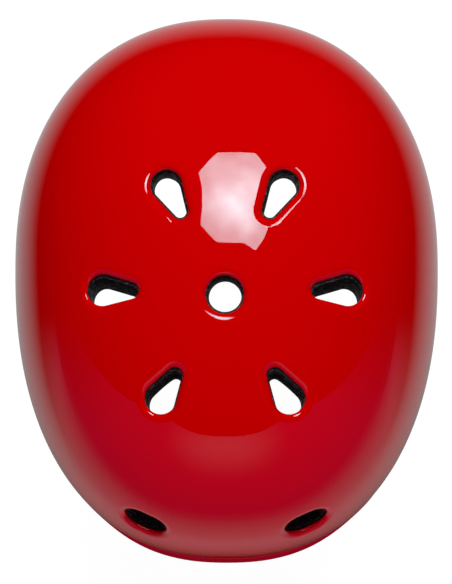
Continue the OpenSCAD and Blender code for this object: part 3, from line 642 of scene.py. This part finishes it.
# Rolled edges: from the surface the skin turns down into the vent on a quarter ellipse
roll_wide, roll_deep = 0.0044, 0.0024
roll_steps = [math.radians(t) for t in range(0, 91, 10)]
cutter_depths, cutter_proud = (0.012, 0.008), 0.002
tools = []
for number, vent in enumerate(all_vents(0, 0)):
    rings = [vent.ring(0, depth) for depth in cutter_depths]
    rings += [vent.ring(roll_wide * (1 - math.cos(t)), roll_deep * (1 - math.sin(t)))
              for t in roll_steps]
    rings.append(vent.ring(roll_wide, -cutter_proud))
    tools.append(cutter(f"vent_tool_{number}", rings))
cut(outer_shell, tools)

# The moulded surface's own normals, back on all that the vents left of it
same_place = 2e-5
moulded = outer_shell.vertex_groups.new(name="moulded")
tree = BVHTree.FromObject(uncut, bpy.context.evaluated_depsgraph_get())
kept = [v.index for v in outer_shell.data.vertices if tree.find_nearest(v.co)[3] < same_place]
moulded.add(kept, 1.0, "REPLACE")
outer_shell.data.shade_smooth()
use_modifier(outer_shell, "DATA_TRANSFER", object=uncut, use_loop_data=True,
             data_types_loops={"CUSTOM_NORMAL"}, loop_mapping="POLYINTERP_NEAREST",
             vertex_group="moulded")
bpy.data.objects.remove(uncut)

red_gloss = Finish("red_gloss", Roughness=0.5, Coat_Weight=1.0, Coat_Roughness=0.012,
                   Coat_IOR=1.5, Specular_IOR_Level=0.0)
red_gloss.tint(red_gloss.noise(9), (0.62, 0.0, 0.0), (0.65, 0.0, 0.001))
red_gloss.relief(red_gloss.noise(160, 1), 0.00001, 0.5)
paint(outer_shell, red_gloss)
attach(outer_shell, "helmet")
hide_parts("outer_shell")


# Foam liner: black expanded polystyrene, moulded in one piece and bonded inside the shell.
# Its vents are narrower than the shell's and lean forward, two channels run over the
# head, and a pocket behind each rivet clears the hanger.
foam_gap = 0.0004
foam_t, foam_end_t = 0.022, 0.025
foam_up, foam_bevel, foam_edge_r = 0.004, 0.004, 0.0015
foam_draft, foam_lean = 0.0012, 0.004
foam_out = tuple(d + foam_gap for d in shell_in)
foam_in = tuple(d + t for d, t in zip(foam_out, (foam_t, foam_end_t, foam_t)))
foam_section = skin_rows(foam_out, foam_in, foam_up, foam_up + foam_bevel,
                         wall_rows=16, dome_rows=30)
foam_liner = bowl("foam_liner_block", 160, foam_section, foam_edge_r, lip=0)
foam_liner.data.shade_smooth()

# Each vent's bore: depth, share of the lean, and how much wider it is there
foam_bore = ((0.036, 1.2, 0.001), (0.0275, 1.05, 0.0008), (0.024, 0.95, 0), (0.014, 0.65, 0),
             (0.005, 0.35, 0.0002), (0.0034, 0.3, 0.0008), (0.0015, 0.3, 0.0008))
tools = []
for number, pair in enumerate(zip(all_vents(foam_draft, 0), all_vents(foam_draft, foam_lean))):
    rings = []
    for depth, share, wider in foam_bore:
        upright, tilted = [vent.ring(wider, depth) for vent in pair]
        rings.append(upright * (1 - share) + tilted * share)
    tools.append(cutter(f"foam_vent_tool_{number}", rings))
cut(foam_liner, tools)

# Air channels, from the nape vents over the head to the brow vents
channel_x, channel_half_w, channel_deep, channel_sunk = 0.032, 0.007, 0.006, 0.001
channel_turns = np.radians(np.arange(174, 19, -5.5))
channel_arc = np.radians(np.arange(0, 181, 15))
tools = []
for side in (-1, 1):
    start = np.stack([side * channel_x + np.cos(channel_arc) * channel_half_w,
                      np.full(len(channel_arc), -crown_ahead / 2),
                      np.full(len(channel_arc), belt_z)], -1)
    depth = [d - (channel_deep * np.sin(channel_arc) - channel_sunk) for d in foam_in]
    rings = [leaves(start, np.array([0, -math.cos(t), math.sin(t)]), depth, shell_front)
             for t in channel_turns]
    tools.append(cutter(f"channel_tool_{side + 1}", rings))
cut(foam_liner, tools)

front_anchor, rear_anchor, rivet_z = 0.036, 0.037, 0.030
pocket_w, pocket_deep, pocket_up, pocket_down, pocket_r = 0.030, 0.011, 0.014, 0.030, 0.003


def anchor(y, side):
    """The place and turn of a rivet on the shell's inner face: X points out through it."""
    reach, power = (shell_front, front_power) if y < 0 else (shell_rear, rear_power)
    bearing = math.degrees(math.acos((abs(y) / reach) ** (power / 2)))
    bearing = bearing if y < 0 else 180 - bearing
    level = rivet_z - belt_z
    turn_step, level_step = 2, 0.003
    p, q = [surface(bearing + way * turn_step, level, shell_in, 0) for way in (-1, 1)]
    turn = math.atan2(q[1] - p[1], q[0] - p[0]) - math.pi / 2
    p, q = [surface(bearing, level + way * level_step, shell_in, 0) for way in (-1, 1)]
    tilt = math.atan2(math.hypot(q[0] - p[0], q[1] - p[1]), q[2] - p[2])
    place = Matrix.Translation(surface(bearing, level, shell_in, 0))
    mirrored = Matrix.Diagonal((side, 1, 1, 1))
    return mirrored @ place @ Matrix.Rotation(turn, 4, "Z") @ Matrix.Rotation(tilt, 4, "Y")


tools = []
for side in (-1, 1):
    for y in (-front_anchor, rear_anchor):
        pocket = added(bpy.ops.mesh.primitive_cube_add, size=1)
        pocket.data.transform(Matrix.Translation((
            (shell_t - pocket_deep) / 2, 0, (pocket_up - pocket_down) / 2)) @ Matrix.Diagonal((
                shell_t + pocket_deep, pocket_w, pocket_up + pocket_down, 1)))
        use_modifier(pocket, "BEVEL", width=pocket_r, segments=4)
        pocket.data.transform(anchor(y, side))
        if side < 0:
            pocket.data.flip_normals()
        tools.append(pocket)
cut(foam_liner, tools)
choose([foam_liner])
bpy.ops.object.shade_smooth_by_angle(angle=math.radians(32))

bead_r = 0.0017
liner_foam = Finish("moulded_beads", Specular_IOR_Level=0.35)
plump = liner_foam.between(liner_foam.cells(0.5 / bead_r, feature="DISTANCE_TO_EDGE"), 0, 0.28)
patchy = liner_foam.noise(45, 3)
liner_foam.tint(plump * 0.6 + patchy * 0.4, (0.002, 0.002, 0.002), (0.042, 0.042, 0.043))
liner_foam.feed("Roughness", 0.7 - plump * 0.28)
liner_foam.relief(plump, 0.0006, 1.0)
paint(foam_liner, liner_foam)
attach(foam_liner, "helmet")
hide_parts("foam_liner")


# Hook patches: thin stiff fabric glued to the foam behind each pad, its face a field of
# small hooks. The pads peel off them to be washed.
pad_gap, patch_t = 0.0003, 0.001
patch_out = tuple(d + pad_gap for d in foam_in)
pad_out = tuple(d + patch_t + pad_gap for d in patch_out)
brow_pad_a, brow_pad_levels = 52, (-8, 17)
nape_pad_a, nape_pad_levels = 44, (-46, -8)
side_pad_turns, side_pad_levels = (68, 118), (-8, 20)
crown_pad_out, crown_pad_in = 71.5, 80.5
brow_patch, nape_patch, side_patch, crown_patch = (6, 5), (7, 9.2), (5, 5), (13, 2.4)
brow_patch_out, nape_patch_out, side_patch_parts = 0.65, 0.6, (0.24, 0.76)
patch_square, patch_rim = 8, 0.12       # power of the patches' outline, width of their rim


def drawn_level(height):
    """A level from millimetres under the belt (negative) or degrees of dome."""
    height = np.asarray(height, float)
    return np.where(height < 0, height / 1000, height)


def patch_places():
    """The bearing and level of each patch's middle, and its half extents in these."""
    for a in (-1, 0, 1):
        yield a * brow_pad_a * brow_patch_out, sum(brow_pad_levels) / 2, brow_patch
    for a in (-1, 1):
        yield 180 + a * nape_pad_a * nape_patch_out, sum(nape_pad_levels) / 2, nape_patch
    for side in (-1, 1):
        for part in side_patch_parts:
            turn = side_pad_turns[0] + (side_pad_turns[1] - side_pad_turns[0]) * part
            yield side * turn, sum(side_pad_levels) / 2, side_patch
    for a in range(45, 316, 90):
        yield a, (crown_pad_in + crown_pad_out) / 2, crown_patch


patches = []
for bearing, level, (wide_half, tall_half) in patch_places():
    patch = added(bpy.ops.mesh.primitive_circle_add, vertices=40, fill_type="NGON")
    bpy.ops.object.mode_set(mode="EDIT")
    bpy.ops.mesh.select_all(action="SELECT")
    bpy.ops.mesh.inset(thickness=patch_rim)
    bpy.ops.object.mode_set(mode="OBJECT")
    for vertex in patch.data.vertices:
        around = math.atan2(vertex.co.y, vertex.co.x)
        c, s = math.cos(around), math.sin(around)
        reach = vertex.co.xy.length / (
            abs(c) ** patch_square + abs(s) ** patch_square) ** (1 / patch_square)
        vertex.co = surface(bearing + wide_half * reach * c,
                            drawn_level(level + tall_half * reach * s), patch_out, 0)
    use_modifier(patch, "TRIANGULATE")
    towards_head = -Vector(patch.data.vertices[0].co - Vector((0, 0, belt_z)))
    if patch.data.polygons[0].normal.dot(towards_head) < 0:
        patch.data.flip_normals()
    use_modifier(patch, "SOLIDIFY", thickness=patch_t, offset=1)
    patches.append(patch)


def one_piece(parts, name):
    whole = joined(parts)
    whole.name = whole.data.name = name
    at_rest_place(whole)
    return whole


hook_patches = one_piece(patches, "hook_patches_fabric")
hook_tape = Finish("hook_tape", Roughness=0.8, Specular_IOR_Level=0.3)
hooks = hook_tape.cells(900)
hook_tape.tint(hooks, (0.035, 0.035, 0.035), (0.006, 0.006, 0.006))
hook_tape.relief(1 - hooks, 0.0004, 0.8)
paint(hook_patches, hook_tape)
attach(hook_patches, "helmet")
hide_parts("hook_patches")


# Comfort pads: open foam in a knitted cover, sewn through in channels and bound round the
# edge. Hook patches hold the brow, nape, side and crown pads to the liner.
band_pad_t, side_pad_t = 0.010, 0.008
cover_cell = 0.003              # of the mesh that the cloth simulation swells
air_pressure = 4
swell_frames = 20
most_swell = 0.003
seam_stand, back_stand = 0.3, 0.25      # of a seam and of the sewn back, in pad thicknesses
cover_half, cover_stand = 0.47, 0.42    # of a cover's section before it is swollen
cover_square, cover_flat = 0.7, 0.6     # powers that square and flatten that section
seam_wide, ring_seam_wide = 1.1, 3.5    # degrees
binding_r = 0.0011
binding_in = 0.0012                     # the binding stands this far off the liner's face


def bearing_and_level(points, depth):
    """Bearing and level of points near the surface at a depth: the reverse of surface."""
    x, y, z = points.T
    rise, r, side, end, power = in_dome(points, depth)
    level = np.where(z > belt_z, np.degrees(np.arcsin(rise ** (dome_power / 2))), z - belt_z)
    a = np.degrees(np.arctan2(side ** (power / 2), np.abs(end) ** (power / 2)))
    return np.where(x < 0, -1, 1) * np.where(end < 0, a, 180 - a), level


def depth_past_liner(points):
    """How far points stand off the face that the pads lie on, towards the head, with
    their bearings, levels and the direction that this is measured in."""
    bearing, level = bearing_and_level(points, pad_out)
    step = 0.01
    here = surface(bearing, level, pad_out, 0)
    there = surface(bearing, level, [d + step for d in pad_out], 0)
    inward = there - here
    length = np.linalg.norm(inward, axis=1)
    inward /= length[:, None]
    return np.sum((points - here) * inward, 1), bearing, level, inward


def swell(obj, seam_of, thick):
    """Sews a pad's cover down to its back and along its seams, and swells the rest with
    air. seam_of gives how near points are to a seam, from 0 to 1, by bearing."""
    use_modifier(obj, "REMESH", mode="VOXEL", voxel_size=cover_cell)
    points = mesh_points(obj)
    stand, bearing, level, inward = depth_past_liner(points)
    seam = seam_of(bearing)
    points -= inward * (seam * np.clip(stand - seam_stand * thick, 0, None))[:, None]
    move_points(obj, points)
    held = obj.vertex_groups.new(name="sewn")
    sewn = np.nonzero((stand < back_stand * thick) | (seam > 0.5))[0]
    held.add(sewn.tolist(), 1.0, "REPLACE")
    cloth = obj.modifiers.new("Cloth", "CLOTH")
    cloth.settings.use_pressure = True
    cloth.settings.uniform_pressure_force = air_pressure
    cloth.settings.vertex_group_mass = "sewn"
    cloth.settings.effector_weights.gravity = 0
    cloth.point_cache.frame_start, cloth.point_cache.frame_end = 1, swell_frames
    for frame_number in range(1, swell_frames + 1):
        bpy.context.scene.frame_set(frame_number)
    ready = obj.evaluated_get(bpy.context.evaluated_depsgraph_get())
    swollen = mesh_points(ready)
    obj.modifiers.remove(cloth)
    bpy.context.scene.frame_set(1)
    moved = swollen - points
    far = np.linalg.norm(moved, axis=1)
    moved *= np.minimum(1, most_swell / np.maximum(far, 1e-9))[:, None]
    stand, bearing, level, inward = depth_past_liner(points + moved)
    points = points + moved - inward * np.minimum(stand, 0)[:, None]
    move_points(obj, points)
    obj.vertex_groups.clear()
    use_modifier(obj, "SMOOTH", factor=0.5, iterations=2)
    use_modifier(obj, "SUBSURF", levels=1, render_levels=1)
    obj.data.shade_smooth()


def unit(vectors):
    return vectors / np.linalg.norm(vectors, axis=1)[:, None]


def round_binding(name, path):
    """A round tube along a closed path of points."""
    sides = 8
    ahead = unit(np.roll(path, -1, 0) - np.roll(path, 1, 0))
    out = path - path.mean(0)
    out = unit(out - np.sum(out * ahead, 1)[:, None] * ahead)
    over = np.cross(ahead, out)

    def place(column, row):
        t = 2 * np.pi * column[:, None] / sides
        row = row % len(path)
        return path[row] + binding_r * (np.cos(t) * out[row] + np.sin(t) * over[row])
    made = wrapped(name, sides, len(path), place)
    made.data.shade_smooth()
    return made


def cover_section(t, thick):
    """A cover's section at an angle: share of the pad's width and stand off the liner."""
    share = 0.5 - cover_half * signed_power(np.cos(t), cover_square)
    return share, thick * (0.5 + cover_stand * signed_power(np.sin(t), cover_flat))


def end_round(u):
    """How much of its height a pad keeps at a share of its length."""
    end_height, end_square = 0.45, 5
    return end_height + (1 - end_height) * np.sqrt(1 - np.abs(2 * u - 1) ** end_square)


def wall_pad(name, bearings, levels, thick, channels):
    """A pad along the liner's wall between two bearings and two levels."""
    a0, a1 = bearings
    around, steps, turns = 24, 60, 9
    end_in, end_taper, end_thin = 0.01, 0.04, 0.35

    def at(u, w, stand):
        height = sum(levels) / 2 + (levels[1] - levels[0]) * (w - 0.5) * end_round(u)
        return surface(a0 + (a1 - a0) * u, drawn_level(height), [d + stand for d in pad_out], 0)

    def place(column, row):
        u = end_in + row / steps * (1 - 2 * end_in)
        w, stand = cover_section(2 * np.pi * (column % around) / around, thick)
        return at(u, w, stand * np.sqrt(np.clip(np.minimum(u, 1 - u) / end_taper, end_thin, 1)))
    pad = wrapped(name + "_cover", around, steps, place, close=False)
    seams = a0 + (a1 - a0) * np.arange(1, channels) / channels

    def seam_of(bearing):
        bearing = np.where(bearing < a0 - 180, bearing + 360, bearing)
        gap = np.min(np.abs(bearing[:, None] - seams), 1)
        return np.exp(-(gap / seam_wide) ** 2)
    swell(pad, seam_of, thick)
    along, up = np.linspace(0, 1, steps), np.linspace(0.1, 0.9, turns)
    u = np.concatenate([along, np.ones(turns), along[::-1], np.zeros(turns)])
    w = np.concatenate([np.zeros(steps), up, np.ones(steps), up[::-1]])
    edge = at(u, w, binding_in + binding_r)
    for smoothing in range(3):
        edge = (np.roll(edge, 1, 0) + edge + np.roll(edge, -1, 0)) / 3
    finish_pad(one_piece([pad, round_binding(name + "_binding", edge)], name + "_cover"), name)


pad_fabric = Finish("knitted_cover", Roughness=0.9, Specular_IOR_Level=0.2, Sheen_Weight=0.35,
                    Sheen_Roughness=0.5)
knit = pad_fabric.cells(640, distance="CHEBYCHEV")
dust = pad_fabric.noise(60, 3)
pad_fabric.tint(knit * 0.7 + dust * 0.5, (0.040, 0.040, 0.043), (0.010, 0.010, 0.011))
pad_fabric.relief(1 - knit, 0.0005, 0.8)


def finish_pad(piece, node):
    paint(piece, pad_fabric)
    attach(piece, "helmet")
    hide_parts(node)


wall_pad("brow_pad", (-brow_pad_a, brow_pad_a), brow_pad_levels, band_pad_t, 5)
wall_pad("nape_pad", (180 - nape_pad_a, 180 + nape_pad_a), nape_pad_levels, band_pad_t, 4)
wall_pad("left_side_pad", side_pad_turns, side_pad_levels, side_pad_t, 2)
wall_pad("right_side_pad", (-side_pad_turns[1], -side_pad_turns[0]), side_pad_levels,
         side_pad_t, 2)

# The crown pad is a ring round the crown vent, sewn into six puffs
ring_steps, ring_around = 120, 20


def ring_place(column, row):
    share, stand = cover_section(2 * np.pi * (column % ring_around) / ring_around, side_pad_t)
    return surface(360 * (row % ring_steps) / ring_steps,
                   crown_pad_out + (crown_pad_in - crown_pad_out) * share,
                   [d + stand for d in pad_out], 0)


crown_pad = wrapped("crown_pad_cover", ring_around, ring_steps, ring_place)
puff_seams = np.arange(-180, 181, 60)
swell(crown_pad, lambda bearing: np.exp(
    -(np.min(np.abs(bearing[:, None] - puff_seams), 1) / ring_seam_wide) ** 2), side_pad_t)
binding_out = [d + binding_in + binding_r for d in pad_out]
bindings = [round_binding(f"crown_binding_{level}",
                          surface(np.arange(0, 360, 3), level, binding_out, 0))
            for level in (crown_pad_out, crown_pad_in)]
crown_pad = one_piece([crown_pad, *bindings], "crown_pad_cover")
finish_pad(crown_pad, "crown_pad")


# Rivets and washers: four stainless rivets fasten the hangers to the shell. Each domed
# head lies outside, and its shank is clinched over a washer on the hanger's plate.
merged_within, flat_turn, smooth_turn = 2e-6, 0.6, 40


def refined(node, name, edge_r, corner=28):
    """A copy of a moulded or turned part, its edges past an angle of corner rounded."""
    part = bpy.data.objects.new(name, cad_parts[node].data.copy())
    part.data.name = name
    bpy.context.scene.collection.objects.link(part)
    choose([part])
    bpy.ops.mesh.customdata_custom_splitnormals_clear()
    bpy.ops.object.mode_set(mode="EDIT")
    bpy.ops.mesh.select_all(action="SELECT")
    bpy.ops.mesh.remove_doubles(threshold=merged_within)
    bpy.ops.mesh.dissolve_limited(angle_limit=math.radians(flat_turn))
    bpy.ops.object.mode_set(mode="OBJECT")
    use_modifier(part, "BEVEL", width=edge_r, segments=2, limit_method="ANGLE",
                 angle_limit=math.radians(corner), use_clamp_overlap=True)
    bpy.ops.object.shade_smooth_by_angle(angle=math.radians(smooth_turn))
    return part


rivet_steel = Finish("rivet_steel", Metallic=1.0)
rub = rivet_steel.noise(900, 3)
rivet_steel.tint(rub, (0.50, 0.50, 0.52), (0.68, 0.68, 0.70))
rivet_steel.feed("Roughness", rub * 0.2 + 0.3)
rivet_steel.relief(rub, 0.00002, 0.4)
for node, edge_r in (("strap_rivets", 0.0002), ("rivet_washers", 0.00015)):
    part = refined(node, node + "_steel", edge_r)
    paint(part, rivet_steel)
    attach(part, "helmet")
    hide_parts(node)


# Hangers: four nylon mouldings, each a riveted plate with two legs that carry a round bar
# for the webbing below the foam.
black_nylon = Finish("moulded_nylon", Specular_IOR_Level=0.45)
rubbed = black_nylon.noise(120, 3)
black_nylon.tint(rubbed, (0.010, 0.010, 0.011), (0.020, 0.020, 0.021))
black_nylon.feed("Roughness", rubbed * 0.22 + 0.33)
black_nylon.relief(black_nylon.noise(2200, 2, 0.6), 0.00006, 0.5)


def nylon_part(node, body, edge_r, corner=28):
    part = refined(node, node + "_moulding", edge_r, corner=corner)
    paint(part, black_nylon)
    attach(part, body)
    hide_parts(node)
    return part


for node in ("left_front_hanger", "left_rear_hanger", "right_front_hanger", "right_rear_hanger"):
    nylon_part(node, "helmet", 0.0004, corner=34)


# Webbing: black woven nylon, 20 mm wide, looped round the bars and sewn back on itself.
# On each side a front and a rear strap meet under the ear, lie on each other and go on
# down to the buckle.
bar_x, bar_z = 0.095, 0.006
web_half, web_half_t = 0.010, 0.00072
layer = 0.00075                 # a layer's middle, from the plane between two layers
loop_r = 0.00233                # of a loop's middle round its bar
neck, straight = 0.0065, 0.009
sewn_len, join_drop, join_len = 0.026, 0.068, 0.038
join_y = (rear_anchor - front_anchor) / 2
socket_drop, clip_drop, clip_x = 0.130, 0.162, 0.00158
tail_len, fold = 0.040, 0.009
web_step, bar_step = 0.001, 12  # between two points along a strap and round a bar
bend_steps = 6                  # over which a bend in the strap's plane is eased
edge_points, face_points = 7, 8


def run(start, end):
    """Points (x, drop) between two places, without the last."""
    start, end = np.array(start, float), np.array(end, float)
    count = max(int(round(np.linalg.norm(end - start) / web_step)), 1)
    return start + (end - start) * (np.arange(count) / count)[:, None]


def round_bar(x, drop, r, start, end):
    """Points (x, drop) round a bar, by angles from 0, outwards, over 90, upwards."""
    t = np.radians(np.linspace(start, end, int(abs(end - start) / bar_step) + 1))
    return np.stack([x + r * np.cos(t), drop - r * np.sin(t)], -1)


def leaning(y0, drop):
    """Where the middle of a side strap that starts at y0 lies at a drop."""
    share = np.clip((drop - straight) / (join_drop - straight), 0, 1)
    return y0 + (join_y - y0) * share


def webbing(node, body, way, y0, side):
    """A piece of webbing along points (x, drop) in the plane of its side's bars."""
    way = np.asarray(way)
    y = leaning(y0, way[:, 1])
    y = np.concatenate([np.full(bend_steps, y[0]), y, np.full(bend_steps, y[-1])])
    y = np.convolve(y, np.full(2 * bend_steps + 1, 1 / (2 * bend_steps + 1)), "valid")
    middle = np.stack([bar_x + way[:, 0], y, bar_z - way[:, 1]], -1)
    ahead = np.gradient(middle, axis=0)
    face = unit(np.stack([-ahead[:, 2], 0 * y, ahead[:, 0]], -1))
    across = unit(np.cross(face, ahead))
    turn = np.radians(np.linspace(-90, 90, edge_points))
    shift = web_half - web_half_t
    edge = np.stack([shift + web_half_t * np.cos(turn), web_half_t * np.sin(turn)], -1)
    flat = np.stack([np.linspace(shift, -shift, face_points + 2)[1:-1],
                     np.full(face_points, web_half_t)], -1)
    section = np.concatenate([edge, flat, -edge, -flat])
    along = np.concatenate([[0], np.cumsum(np.linalg.norm(np.diff(middle, axis=0), axis=1))])

    def place(column, row):
        q = section[column % len(section)]
        points = middle[row] + q[:, :1] * across[row] + q[:, 1:] * face[row]
        return points * (side, 1, 1)

    def marks(column, row):
        return np.stack([section[column % len(section), 0], along[row]], -1)
    piece = wrapped(node + "_webbing", len(section), len(way) - 1, place, False, marks)
    piece.data.shade_smooth()
    paint(piece, weave)
    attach(piece, body)
    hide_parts(node)
    return piece


def hung(outer, below):
    """The way of a side strap, from its sewn-back end over the bar, down past the join."""
    way = np.concatenate([run((-layer, sewn_len), (-layer, neck)),
                          round_bar(0, 0, loop_r, 200, -20),
                          run((layer, neck), (layer, join_drop + below)),
                          [(layer, join_drop + below)]])
    return way * (1 if outer else -1, 1)


rib_pitch, rib_wide, rib_sway = 0.0013, 0.0025, 1.7
weave = Finish("woven_nylon", Roughness=0.7, Specular_IOR_Level=0.3)
strap_place = weave.node("ShaderNodeTexCoord", {}, {}, "UV")
sway = (weave.axis(strap_place, 0) * (2 * math.pi / rib_wide)).sine() * rib_sway
ribs = (weave.axis(strap_place, 1) * (2 * math.pi / rib_pitch) + sway).sine() * 0.5 + 0.5
fuzz = weave.noise(700)
weave.tint(ribs * 0.7 + fuzz * 0.4, (0.006, 0.006, 0.007), (0.030, 0.030, 0.032))
weave.relief(ribs, 0.0003, 0.7)

socket_end = np.concatenate([
    round_bar(0, socket_drop, loop_r, 20, -200),
    run((-layer, socket_drop - neck), (-layer, socket_drop - neck - sewn_len / 2))])
left_way = np.concatenate([hung(True, socket_drop - neck - join_drop), socket_end])
webbing("left_front_strap", "left_harness", left_way, -front_anchor, 1)
webbing("left_rear_strap", "left_harness", hung(False, join_len), rear_anchor, 1)
webbing("right_front_strap", "right_harness", hung(True, join_len), -front_anchor, -1)
webbing("right_rear_strap", "right_harness", hung(False, join_len), rear_anchor, -1)

# On the helmet the stretch above the clip shortens as the clip slides up; here it only gets
# a mesh of its own. The tail goes with the clip
chin_strap = webbing("right_chin_strap", "right_harness", run(
    (-layer, join_drop + join_len), (-layer, clip_drop + 0.001)), join_y, -1)
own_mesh(chin_strap)
tail_x, tail_top = clip_x + loop_r, clip_drop - tail_len + layer
webbing("strap_tail", "clip", np.concatenate([
    round_bar(clip_x, clip_drop, loop_r, 180, 350), run((tail_x, clip_drop), (tail_x, tail_top)),
    round_bar(tail_x + layer, tail_top, layer, 180, 0),
    run((tail_x + 2 * layer, tail_top + 0.001), (tail_x + 2 * layer, tail_top + fold))]),
    join_y, -1)


# Stitching: black bonded thread, sewn by machine through both layers of webbing in a box
# with a cross, where an end comes back round its bar and at the join under each ear.
stitch_len, stitch_pitch, thread_r = 0.0024, 0.0031, 0.00026
stitch_sides, stitch_rings = 8, 6
box_half = 0.0072


def stitch_line(start, end, y0, x, side):
    """A row of stitches on a strap's face, between two places (across, drop)."""
    a, b = [Vector((x, leaning(y0, drop) + off, bar_z - drop)) for off, drop in (start, end)]
    count = int((b - a).length / stitch_pitch)
    line = added(bpy.ops.mesh.primitive_uv_sphere_add, segments=stitch_sides,
                 ring_count=stitch_rings)
    line.data.transform(Matrix.Diagonal((stitch_len / 2, thread_r, thread_r, 1)))
    pitch = (b - a).length / count
    line.data.transform(Matrix.Translation((pitch / 2, 0, 0)))
    use_modifier(line, "ARRAY", count=count, use_relative_offset=False,
                 use_constant_offset=True, constant_offset_displace=(pitch, 0, 0))
    turn = (b - a).to_track_quat("X", "Z").to_matrix().to_4x4()
    line.data.transform(Matrix.Diagonal((side, 1, 1, 1)) @ Matrix.Translation(a) @ turn)
    if side < 0:
        line.data.flip_normals()
    line.data.shade_smooth()
    return line


def box_and_cross(y0, top, low, side):
    """The stitches that hold two layers together, as they show on both faces."""
    corners = [(-box_half, top), (box_half, top), (box_half, low), (-box_half, low)]
    ways = [(corners[k], corners[(k + 1) % 4]) for k in range(4)]
    ways += [(corners[0], corners[2]), (corners[1], corners[3])]
    return [stitch_line(a, b, y0, bar_x + face * (layer + web_half_t), side)
            for a, b in ways for face in (-1, 1)]


thread = Finish("bonded_thread", Roughness=0.4, Specular_IOR_Level=0.4)
thread.tint(thread.noise(1500), (0.010, 0.010, 0.011), (0.035, 0.035, 0.037))
# Where each box is sewn: where its strap starts from front to back, its top and low drop
sewn_boxes = ((-front_anchor, 0.0105, 0.0245), (rear_anchor, 0.0105, 0.0245),
              (join_y, 0.0855, 0.1030))
socket_box = (join_y, 0.1120, 0.1220)
for hand, side, body, boxes in (("left", 1, "left_harness", (*sewn_boxes, socket_box)),
                                ("right", -1, "right_harness", sewn_boxes)):
    lines = [line for box in boxes for line in box_and_cross(*box, side)]
    stitching = one_piece(lines, hand + "_stitching")
    paint(stitching, thread)
    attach(stitching, body)


# Dividers: two moulded nylon rings, one on each side. Both layers of the join run through
# each, and it slides along them to set the fork under the ear.
for hand in ("left", "right"):
    nylon_part(hand + "_divider", hand + "_divider_body", 0.0004)


# Side-release buckle: the socket hangs on the left strap's bar. The clip's two prongs
# flex together into it, and their barbs stand out of its sides when it is shut.
nylon_part("buckle_socket", "socket", 0.0004, corner=32)
nylon_part("buckle_clip", "clip", 0.0004, corner=32)
for end in ("front", "rear"):
    nylon_part(end + "_prong", end + "_prong_body", 0.00035, corner=30)


# Keeper: a moulded rubber ring round the strap and its loose tail. Nothing fixes it but its
# own grip, with which it holds the tail down.
keeper_rubber = Finish("keeper_rubber_skin", Specular_IOR_Level=0.4)
bloom = keeper_rubber.noise(260, 3)
keeper_rubber.tint(bloom, (0.012, 0.012, 0.012), (0.028, 0.028, 0.027))
keeper_rubber.feed("Roughness", bloom * 0.3 + 0.5)
keeper_rubber.relief(bloom, 0.00005, 0.4)
keeper = refined("strap_keeper", "strap_keeper_ring", 0.0004)
paint(keeper, keeper_rubber)
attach(keeper, "keeper")
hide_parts("strap_keeper")
